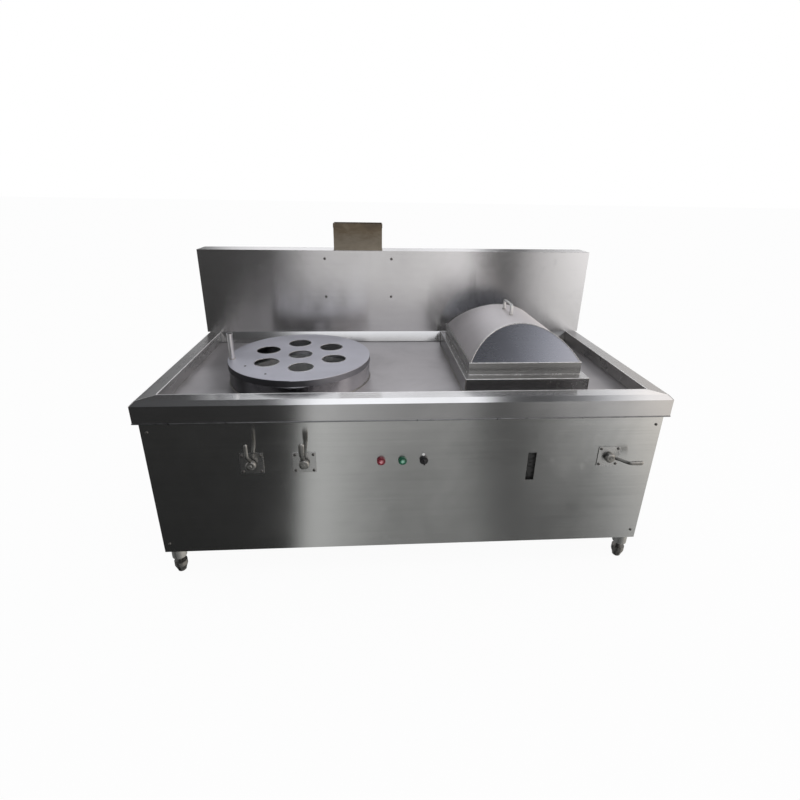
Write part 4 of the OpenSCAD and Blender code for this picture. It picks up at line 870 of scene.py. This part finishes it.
@dataclass
class Table:
    """Deck, rims, panels, legs and feet, with the rim's mitre welds and the panel's screws."""

    weld_width: float = 0.0026
    weld_height: float = 0.0006
    screw_side: float = 0.866
    screw_heights: tuple[float, float] = (0.149, 0.606)
    upstand_lean: float = 0.012
    upstand_t: float = 0.0012
    upstand_crown: float = 0.0004
    edge_r: float = 0.0018
    roll_r: float = 0.0024
    bevel: float = 0.0145
    cap_depths: tuple[float, float] = (0.0006, 0.0018)
    gap: float = 0.001
    hair: float = 0.0005

    def mitre_welds(self) -> None:
        """Runs a dressed weld over each front corner of the rim, from the bevel's foot to the inside."""
        low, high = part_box("front_rim")
        outer, inner = low[1], high[1]
        bevel = self.bevel
        section = oval(self.weld_width, self.weld_height)

        def run(side: int) -> Shape:
            """Makes the weld of one corner."""
            edge = side * high[0]
            foot = (edge, outer, high[2] - bevel)
            lip = (edge - side * bevel, outer + bevel, high[2])
            end = (edge - side * (inner - outer), inner, high[2])
            path = np.vstack([straight(foot, lip, 12)[:-1], straight(lip, end, 40)])
            return sweep(path, section, UP, ripple(len(path), 0.25))

        piece("rim_mitre_welds", run(-1) + run(1), RIM_SIDE)

    def panel_screws(self) -> None:
        """Puts cross screws in the front panel's corners."""
        shapes = [cross_screw(np.array([x, PANEL_Y, z]), OUT, *PAN_HEAD, PAN_SHANK)
                  for x in (-self.screw_side, self.screw_side) for z in self.screw_heights]
        screws = piece("panel_cross_screws", joined(shapes), SCREW)
        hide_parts("panel_screws")

    @staticmethod
    def runs(corners: list[Point], radius: float, steps: int) -> Shape:
        """Lays a bead along the left, front and right runs between four corners."""
        pairs = zip(corners, corners[1:])
        return joined([bead(straight(start, end, 30), radius, steps) for start, end in pairs])

    def rim_edges(self) -> None:
        """Rounds the rim's inner top edge with a fine bead along the left, front and right; its pale colour
        is a painted highlight.
        """
        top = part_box("front_rim")[1]
        left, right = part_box("left_rim")[1][0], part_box("right_rim")[0][0]
        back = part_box("splash_front")[0][1] - self.gap
        z = top[2] - self.edge_r * 0.6
        corners = [(left, back, z), (left, top[1], z), (right, top[1], z), (right, back, z)]
        piece("rim_inner_edges", self.runs(corners, self.edge_r, 8), EDGE_HIGHLIGHT)

    def apron_edge(self) -> None:
        """Rolls the apron's lower edge along the front and both sides; its dark colour is painted shade for
        the shadow line under the apron.
        """
        low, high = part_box("front_rim")
        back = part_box("left_rim")[1][1]
        z = low[2] + self.roll_r * 0.4
        corners = [(low[0], back, z), (low[0], low[1], z), (high[0], low[1], z), (high[0], back, z)]
        piece("apron_rolled_edge", self.runs(corners, self.roll_r, 10), ROLLED_SHADE)

    def rim_caps(self) -> None:
        """Closes the rear end of each side rim with a plate.

        At each x the plate spans from the deck, or past the side panel from the apron's foot, up to the rim's
        top, which falls one to one along the bevel.
        """
        low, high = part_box("right_rim")
        foot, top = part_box("front_rim")[0][2], high[2]
        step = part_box("right_panel")[1][0]
        end = high[0] - self.hair
        x = np.array([low[0], low[0], step - self.hair, step + self.hair, high[0] - self.bevel, end, end])
        thin = np.array([0.0, 1.0, 1.0, 1.0, 1.0, 1.0, 0.0])
        upper = np.minimum(top, top - (x - high[0] + self.bevel)) - self.hair
        lower = np.where(x < step, DECK_Z, foot + self.hair)
        back, front = (high[1] - depth for depth in self.cap_depths)
        around = ((back, lower), (back, upper), (front, upper), (front, lower))
        corners = np.stack([columns(x, y, z) for y, z in around], axis=1)
        middle_line = corners.mean(axis=1, keepdims=True)
        right = middle_line + (corners - middle_line) * thin[:, None, None]
        piece("rim_end_caps", grid(right) + grid(right * [-1, 1, 1]), RIM_SIDE)

    def rear_upstand(self) -> None:
        """Stands a folded strip along the splash's foot: its section leans back and its top is rounded."""
        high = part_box("left_rim")[1]
        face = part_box("splash_front")[0][1]
        foot, top = DECK_Z + 2 * self.gap, high[2] - self.gap
        half = -high[0] - self.gap
        lean, thick = self.upstand_lean, self.upstand_t
        section = np.array([[lean, foot], [lean - thick, foot], [0.0, top - 2 * self.gap], [0.0, top],
                            [thick, top + self.upstand_crown], [2 * thick, top - self.gap]])
        x = np.array([-half, -half, half, half])
        shrink = np.array([0.0, 1.0, 1.0, 0.0])
        centre = section.mean(axis=0)
        rows = centre + (section - centre) * shrink[:, None, None]
        points = columns(x[:, None], face - rows[..., 0], rows[..., 1])
        piece("rear_upstand", grid(points), RIM_FRONT)

    def build(self) -> None:
        """Makes the table's own pieces and dresses its nodes."""
        self.mitre_welds()
        self.panel_screws()
        self.rim_edges()
        self.apron_edge()
        self.rim_caps()
        self.rear_upstand()
        dress(DECK, "deck")
        dress(RIM_FRONT, "front_rim")
        dress(RIM_SIDE, "left_rim", "right_rim")
        dress(PANEL, "front_panel", "rear_panel")
        dress(SIDE, "left_panel", "right_panel")
        dress(INNER, "base_shelf")
        dress(LEG, "corner_legs")
        dress(FOOT, "foot_front_left", "foot_front_right", "foot_rear_left", "foot_rear_right")


@dataclass
class Splash:
    """The hollow splash with its flue outlet and rivets."""

    seam_r: float = 0.0011
    seam_corner: float = 0.002
    weld_w: float = 0.004
    weld_h: float = 0.003
    weld_corner: float = 0.003
    weld_in: float = 0.002

    def top_hem(self) -> None:
        """Rounds the splash's top edge with a small bead around its box."""
        low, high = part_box("splash_top")
        path = box_path(low, high, high[2] - self.seam_r * 0.4, self.seam_corner)
        piece("splash_top_hem", bead(path, self.seam_r, 10, True), HEM)

    def flue_weld(self) -> None:
        """Welds the flue outlet's foot to the splash's top."""
        low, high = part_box("flue_outlet")
        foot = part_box("splash_top")[1][2]
        front = (low[0], low[1] + self.weld_in, 0)
        path = box_path(front, high, foot + WELD_LIFT, self.weld_corner)
        piece("flue_weld", weld(path, self.weld_w, self.weld_h, 10), WELD)

    def build(self) -> None:
        """Makes the splash's own pieces and dresses its nodes."""
        self.top_hem()
        self.flue_weld()
        dress(SPLASH, "splash_front", "splash_back", "splash_sides", "splash_top")
        dress(FLUE, "flue_outlet")
        dress(INNER, "flue_riser")
        dress(SCREW, "flue_rivets")


@dataclass
class SteamDrum:
    """The round drum with its perforated plate and vent pipe."""

    weld_r: float = 0.0022
    weld_lift: float = 0.0008
    weld_out: float = 0.0006
    vent_weld_r: float = 0.0107
    vent_weld_w: float = 0.0036
    vent_weld_h: float = 0.003
    screw_places: tuple[tuple[float, float], ...] = ((-0.4976, -0.2813), (-0.5855, -0.2009))
    screw_head: tuple[float, float] = (0.004, 0.0018)
    screw_shank: Point = (0.0015, 0.002, 0.001)
    hole_count: int = 6
    hole_turn: float = 38.0
    hole_ring: float = 0.143
    hole_r: float = 0.045
    lip_w: float = 0.0022
    lip_h: float = 0.0014
    lip_out: float = 0.0004
    lip_sunk: float = 0.0002

    def base_weld(self) -> None:
        """Runs a scalloped weld round the drum's foot."""
        low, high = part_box("drum_wall")
        centre = over("drum_wall", DECK_Z + self.weld_lift)
        path = circle_path(centre, (high[0] - low[0]) / 2 + self.weld_out, 540)
        piece("drum_foot_weld", weld(path, 2 * self.weld_r, 2 * self.weld_r), WELD)

    def vent_weld(self) -> None:
        """Runs a weld round the vent pipe's foot."""
        path = circle_path(over("vent_pipe", PLATE_Z + WELD_LIFT), self.vent_weld_r, 72)
        piece("vent_weld", weld(path, self.vent_weld_w, self.vent_weld_h), WELD, "steam_cover")

    def hole_lips(self) -> None:
        """Rounds the rim of each steam hole with a fine drawn lip."""
        axis = over("steam_plate", PLATE_Z - self.lip_sunk)
        centres = [axis, *circle_path(axis, self.hole_ring, self.hole_count, self.hole_turn)]
        section = oval(self.lip_w, self.lip_h, steps=8)
        rings = [circle_path(centre, self.hole_r + self.lip_out, 72) for centre in centres]
        lips = [sweep(ring, section, UP, closed=True) for ring in rings]
        piece("steam_hole_lips", joined(lips), HEM, "steam_cover")

    def plate_screws(self) -> None:
        """Puts the two small screws on the plate that hold its lip."""
        # A hair of lean gives the upright screws a side to measure their cross from
        axis = UP + 1e-6 * OUT
        shapes = [cross_screw(np.array([x, y, PLATE_Z]), axis, *self.screw_head, self.screw_shank)
                  for x, y in self.screw_places]
        piece("plate_lip_screws", joined(shapes), SCREW, "steam_cover")

    def build(self) -> None:
        """Makes the drum's own pieces and dresses its nodes."""
        self.base_weld()
        self.vent_weld()
        self.hole_lips()
        self.plate_screws()
        dress(DRUM, "drum_wall")
        dress(PLATE, "steam_plate")
        dress(VENT, "vent_pipe")
        dress(POT, "boiler_pot")


@dataclass
class TraySteamer:
    """The square frame with its trough, grid and arched lid."""

    end_lean: float = 0.104
    hem_r: float = 0.0016
    edge_r: float = 0.0016
    corner: float = 0.003
    strap_w: float = 0.012
    strap_t: float = 0.006
    strap_bend: float = 0.009
    strap_corner: float = 0.002
    strap_weld: float = 0.0034
    strap_lift: float = 0.0004
    seam_w: float = 0.003
    seam_stop: float = 0.001
    seam_points: int = 40
    weld_w: float = 0.004
    weld_h: float = 0.003

    def arch_hem(self, way: int) -> Shape:
        """Rolls an end edge of the arch: a bead along the arc where the leaning end cuts the barrel.

        With half the chord c and the rise h, the arc's radius is (c^2 + h^2) / (2 h). Its points are
        (radius sin a, lean (z - foot) / h, radius cos a) about the arc's centre.

        Args:
            way: 1 at the front end, -1 at the back.

        Returns:
            The bead.
        """
        low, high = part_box("lid_arch")
        half, rise = (high[0] - low[0]) / 2, high[2] - low[2]
        radius = (half ** 2 + rise ** 2) / (2 * rise)
        reach = np.arcsin(half / radius)
        a = np.linspace(-reach, reach, 120)
        height = rise - radius + radius * np.cos(a)
        foot_y = low[1] if way > 0 else high[1]
        path = columns(low[0] + half + radius * np.sin(a), foot_y + way * self.end_lean * height / rise,
                       low[2] + height)
        return sweep(path, oval(2 * self.hem_r, 2 * self.hem_r, steps=12), OUT)

    def lid_hems(self) -> None:
        """Puts a rolled hem on both ends of the arch and a folded edge round the skirt."""
        piece("lid_front_hem", self.arch_hem(1), HEM, "lid")
        # Painted shade: the rear hem takes the skirt's darker finish, the front hem the hem finish
        piece("lid_rear_hem", self.arch_hem(-1), SKIRT, "lid")
        low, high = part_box("lid_skirt")
        z = high[2] - self.edge_r * 0.5
        runs = [straight((low[0], y, z), (high[0], y, z), 40) for y in (low[1], high[1])]
        ends = [bead(run, self.edge_r, 10) for run in runs]
        # The skirt's top edges are pale as a painted highlight
        piece("skirt_top_edges", joined(ends), EDGE_HIGHLIGHT, "lid")
        path = box_path(low, high, low[2] + self.edge_r * 0.9, self.corner)
        piece("skirt_foot_edge", bead(path, self.edge_r, 10, True), HEM, "lid")

    def handle(self) -> None:
        """Bends the strap handle: straight legs, quarter-round bends and a level grip, welded at its feet."""
        low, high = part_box("lid_handle")
        x, foot = (low[0] + high[0]) / 2, low[2]
        half_w, half_t = self.strap_w / 2, self.strap_t / 2
        front, back = low[1] + half_t, high[1] - half_t
        top, bend = high[2] - half_t, self.strap_bend
        turn = np.linspace(0, np.pi / 2, 9)
        rise = np.linspace(foot, top - bend, 8)[:-1]
        y = np.concatenate([np.full(len(rise), front), front + bend - bend * np.cos(turn)])
        z = np.concatenate([rise, top - bend + bend * np.sin(turn)])
        y = np.concatenate([y, front + back - y[::-1]])
        z = np.concatenate([z, z[::-1]])
        path = columns(x, y, z)
        side = np.array([1.0, 0.0, 0.0])
        strap = sweep(path, oval(self.strap_t, self.strap_w, 5.0, 24), side)
        made = piece("lid_strap_handle", strap, CHROME, "lid")
        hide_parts("lid_handle")
        feet = [box_path((x - half_w, leg - half_t, 0), (x + half_w, leg + half_t, 0), foot + self.strap_lift,
                         self.strap_corner, 16) for leg in (front, back)]
        beads = [weld(path, self.strap_weld, self.strap_weld) for path in feet]
        piece("handle_welds", joined(beads), WELD, "lid")

    def frame_edges(self) -> None:
        """Folds the frame's top edge and welds its upright corners and foot."""
        low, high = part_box("tray_frame")
        path = box_path(low, high, high[2] - self.edge_r * 0.5, self.corner)
        # The frame's top edge is pale as a painted highlight
        piece("frame_top_edge", bead(path, self.edge_r, 10, True), EDGE_HIGHLIGHT)
        section = oval(self.seam_w, self.seam_w, steps=8)
        top = high[2] - self.seam_stop
        runs = [straight((x, y, DECK_Z), (x, y, top), self.seam_points)
                for x in (low[0], high[0]) for y in (low[1], high[1])]
        seams = [sweep(run, section, OUT, ripple(self.seam_points, 0.2)) for run in runs]
        foot = weld(box_path(low, high, DECK_Z + WELD_LIFT, self.corner, 120), self.weld_w, self.weld_h)
        piece("frame_welds", joined(seams) + foot, WELD)

    def build(self) -> None:
        """Makes the tray steamer's own pieces and dresses its nodes."""
        self.lid_hems()
        self.handle()
        self.frame_edges()
        dress(TRAY, "trough", "tray_frame", "steam_grid")
        dress(SKIRT, "lid_skirt")
        dress(LID, "lid_arch")
        dress(LID_END_PAINTED_SKY, "lid_end_plates")


@dataclass(frozen=True)
class Lever:
    """A lever's node, its place along the panel, its paddle's width and its turn at rest in degrees."""

    node: str
    x: float
    paddle: float
    turn: float = 0.0


@dataclass
class GasControls:
    """Three lever valves on screwed plates, with the gas pipes behind the panel."""

    levers: tuple[Lever, ...] = (Lever("pilot_lever", -0.540, 0.011), Lever("main_lever", -0.362, 0.020),
                                 Lever("right_lever", 0.715, 0.016, 90.0))
    axis_z: float = 0.482
    hub_r: float = 0.0175
    hub_back: float = 0.009
    hub_front: float = 0.022
    face_r: float = 0.008
    face_dip: float = 0.0003
    nut_r: float = 0.0058
    spindle_r: float = 0.007
    spindle_in: float = 0.046
    bar_t: float = 0.009
    bar_neck: float = 0.011
    bar_points: int = 64
    swing_from: float = 0.010
    swing_over: float = 0.050
    widen_from: float = 0.02
    widen_over: float = 0.07
    length: float = 0.103
    reach: float = 0.0515
    plate_t: float = 0.003
    screw_pitch: float = 0.062

    def hub(self, axis: Array) -> Shape:
        """Turns a lever's hub with its spindle, and a low six-sided nut on its face.

        Each row is a radius and a height in metres; the small steps off them round the edges.

        Args:
            axis: The valve's axis where it meets the panel.

        Returns:
            The hub and nut.
        """
        back, front, r = self.hub_back, self.hub_front, self.hub_r
        spindle = [[0, -self.spindle_in], [self.spindle_r, -self.spindle_in], [self.spindle_r, back]]
        body = [[r - 0.002, back], [r - 0.0004, back + 0.0008], [r, back + 0.003], [r, front - 0.004],
                [r - 0.0008, front - 0.002], [r - 0.0026, front - 0.0006], [r - 0.005, front]]
        face = [[self.face_r, front - self.face_dip], [0.0, front - self.face_dip]]
        nut = [[0, front - 0.002], [self.nut_r, front - 0.002], [self.nut_r, front + 0.0022],
               [self.nut_r - 0.0012, front + 0.003], [0.0, front + 0.0032]]
        return lathe(np.array(spindle + body + face), axis, OUT, 56) + lathe(np.array(nut), axis, OUT, 6)

    def lever(self, lever: Lever) -> None:
        """Makes a cast lever: its bar swings out as a smooth step of its height and widens to a round paddle.

        Args:
            lever: The lever's place and form; its piece replaces the CAD node.
        """
        axis = np.array([lever.x, PANEL_Y, self.axis_z])
        bar_end = self.length - lever.paddle / 2
        tail = np.linspace(0, np.pi / 2, 12)[1:-1]
        tip = bar_end + np.sin(tail) * lever.paddle / 2
        z = np.concatenate([np.linspace(0, bar_end, self.bar_points), tip])
        mid = (self.hub_back + self.hub_front) / 2
        y = mid + (self.reach - mid) * smooth_step((z - self.swing_from) / self.swing_over)
        widened = smooth_step((z - self.widen_from) / self.widen_over)
        width = self.bar_neck + (lever.paddle - self.bar_neck) * widened
        width[self.bar_points:] *= np.cos(tail)
        path = columns(axis[0], axis[1] - y, axis[2] + z)
        edge = oval(1.0, 1.0, 3.2, 24)
        bar = sweep(path, edge * [1.0, self.bar_t / lever.paddle], OUT, width)
        shape = (self.hub(axis) + bar).turned(axis, lever.turn)
        made = piece(lever.node + "_cast", shape, LEVER, lever.node, 30.0)
        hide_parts(lever.node)

    def plate_screws(self) -> None:
        """Puts four cross screws on each valve plate."""
        h = self.screw_pitch / 2
        face = PANEL_Y - self.plate_t
        centres = [np.array([lever.x + side * h, face, self.axis_z + lift * h])
                   for lever in self.levers for side in (-1, 1) for lift in (-1, 1)]
        shapes = [cross_screw(centre, OUT, *PAN_HEAD, PAN_SHANK) for centre in centres]
        screws = piece("plate_cross_screws", joined(shapes), SCREW)
        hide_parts("plate_screws")

    def build(self) -> None:
        """Makes the levers and screws and dresses the gas line."""
        for lever in self.levers:
            self.lever(lever)
        self.plate_screws()
        dress(VALVE_PLATE, "valve_plates")
        dress(BRASS, "gas_manifold", "pilot_valve", "main_valve", "right_valve", "burner_pipes")


@dataclass
class PanelButtons:
    """Stop and start buttons and the selector."""

    shoulder_w: float = 0.0028
    shoulder_h: float = 0.0022
    dome_h: float = 0.0014
    ring_r: float = 0.0128
    ring_points: int = 72
    bezel: float = 0.008
    collar_w: float = 0.0040
    collar_out: float = 0.0016
    grip_w: float = 0.0072
    grip_h: float = 0.0095
    grip_points: int = 25
    index_up: float = 0.0205
    index_aside: float = 0.0015
    index_r: float = 0.0052
    index_t: float = 0.0014

    @staticmethod
    def seat(node: str) -> tuple[Array, float]:
        """Gives the middle of a cap's back face and the cap's depth."""
        low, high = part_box(node)
        return np.array([(low[0] + high[0]) / 2, high[1], (low[2] + high[2]) / 2]), high[1] - low[1]

    def lens(self, node: str, finish: Finish, slot: str) -> None:
        """Makes a button cap: a lens with a quarter-round shoulder and a low dome that falls as r squared.

        Args:
            node: The CAD cap that it replaces.
            finish: The lens's finish.
            slot: The record's material slot; not used.
        """
        low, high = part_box(node)
        centre, depth = self.seat(node)
        r = (high[0] - low[0]) / 2
        turn = np.linspace(0, np.pi / 2, 8)
        foot = depth - self.dome_h - self.shoulder_h
        shoulder = columns(r - self.shoulder_w * (1 - np.cos(turn)), foot + self.shoulder_h * np.sin(turn))
        inner_r = r - self.shoulder_w
        dome_r = np.linspace(inner_r, 0, 10)[1:]
        dome = columns(dome_r, depth - self.dome_h * (dome_r / inner_r) ** 2)
        half = np.vstack([[[0, 0], [r, 0]], shoulder, dome])
        made = piece(node + "_lens", lathe(half, centre, OUT, 48), finish, node)
        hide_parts(node)

    def selector(self) -> None:
        """Makes the selector: a skirted knob with a raised grip bar, and a white index dot above it.

        Along the bar its section is scaled by 1.15 - |z/r|^6, held between 0.3 and 1.
        """
        low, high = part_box("selector_knob")
        centre, depth = self.seat("selector_knob")
        r = min(high[0] - low[0], high[2] - low[2]) / 2
        skirt_h = depth - self.grip_h
        half = [[0, 0], [r, 0], [r, skirt_h - 0.0015], [r - 0.0012, skirt_h], [0, skirt_h + 0.0004]]
        skirt = lathe(np.array(half), centre, OUT, 48)
        z = np.linspace(-r * 0.94, r * 0.94, self.grip_points)
        grip_y = centre[1] - skirt_h - self.grip_h / 2 + 0.0005
        path = columns(centre[0], grip_y, centre[2] + z)
        taper = np.clip(1.15 - np.abs(z / r) ** 6, 0.3, 1.0)
        bar = sweep(path, oval(self.grip_w, self.grip_h + 0.001, 4.0, 20), OUT, taper)
        made = piece("selector_grip", skirt + bar, BLACK, "selector_knob")
        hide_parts("selector_knob")
        mark = np.array([centre[0] - self.index_aside, PANEL_Y, centre[2] + self.index_up])
        half = np.array([[0.0, -0.0005], [1.0, -0.0005], [1.0, 0.5], [0.94, 0.8], [0.8, 0.95], [0.0, 1.0]])
        dot = lathe(half * [self.index_r, self.index_t], mark, OUT, 32)
        piece("selector_index", dot, WHITE)

    def bezel_ring(self, node: str, finish: Finish) -> None:
        """Puts a coloured collar over a bezel: a rounded square section swept round the button's axis.

        Args:
            node: The CAD cap or knob that it surrounds.
            finish: The collar's finish.
        """
        centre = middle(node)
        a = full_turn(self.ring_points)
        x, z = centre[0] + self.ring_r * np.cos(a), centre[2] + self.ring_r * np.sin(a)
        path = columns(x, PANEL_Y - self.bezel / 2, z)
        section = oval(self.collar_w, self.bezel + self.collar_out, 5.0, 20)
        piece(node + "_collar", sweep(path, section, OUT, closed=True), finish)

    def build(self) -> None:
        """Makes the caps, knob and rings and dresses what holds them."""
        self.lens("stop_button", RED, "stop_red")
        self.lens("start_button", GREEN, "start_green")
        self.selector()
        self.bezel_ring("stop_button", RED_RING)
        self.bezel_ring("start_button", GREEN_RING)
        self.bezel_ring("selector_knob", BLACK)
        dress(BLACK, "button_bodies", "selector_body", "cable_gland")
        dress(BOX, "control_box")


@dataclass
class InnerWorks:
    """Burners, fireboxes, flue ducts and blower inside the table, and a near-black pane behind the sight slot
    as painted shade.
    """

    shade_pane_w: float = 0.056
    shade_pane_h: float = 0.150
    shade_pane_t: float = 0.0012
    shade_pane_at: Point = (0.437, -0.4025, 0.445)

    def shade_pane(self) -> None:
        """Hangs a near-black pane behind the sight slot, painted shade for the dark inside: an upright run of
        a flat, square-cornered oval.
        """
        centre, half = np.array(self.shade_pane_at), UP * self.shade_pane_h / 2
        section = oval(self.shade_pane_w, self.shade_pane_t, 9.0, 32)
        pane = sweep(straight(centre - half, centre + half, 4), section, OUT)
        piece("sight_shade_pane", pane, SIGHT_SHADE_PANE)

    def build(self) -> None:
        """Makes the pane and dresses the nodes inside the table."""
        self.shade_pane()
        dress(IRON, "left_burner", "right_burner")
        dress(FIREBOX, "left_firebox", "right_firebox", "flue_necks", "flue_collector")
        dress(INNER, "air_pipes")
        dress(BLOWER, "blower_housing", "blower_impeller", "blower_motor")


def main() -> None:
    """Builds the studio and each part of the range in turn."""
    logging.basicConfig(level=logging.INFO, format="%(name)s: %(message)s")
    parts = (Studio(), Table(), Splash(), SteamDrum(), TraySteamer(), GasControls(), PanelButtons(),
             InnerWorks())
    for part in parts:
        part.build()


if __name__ == "__main__":
    main()
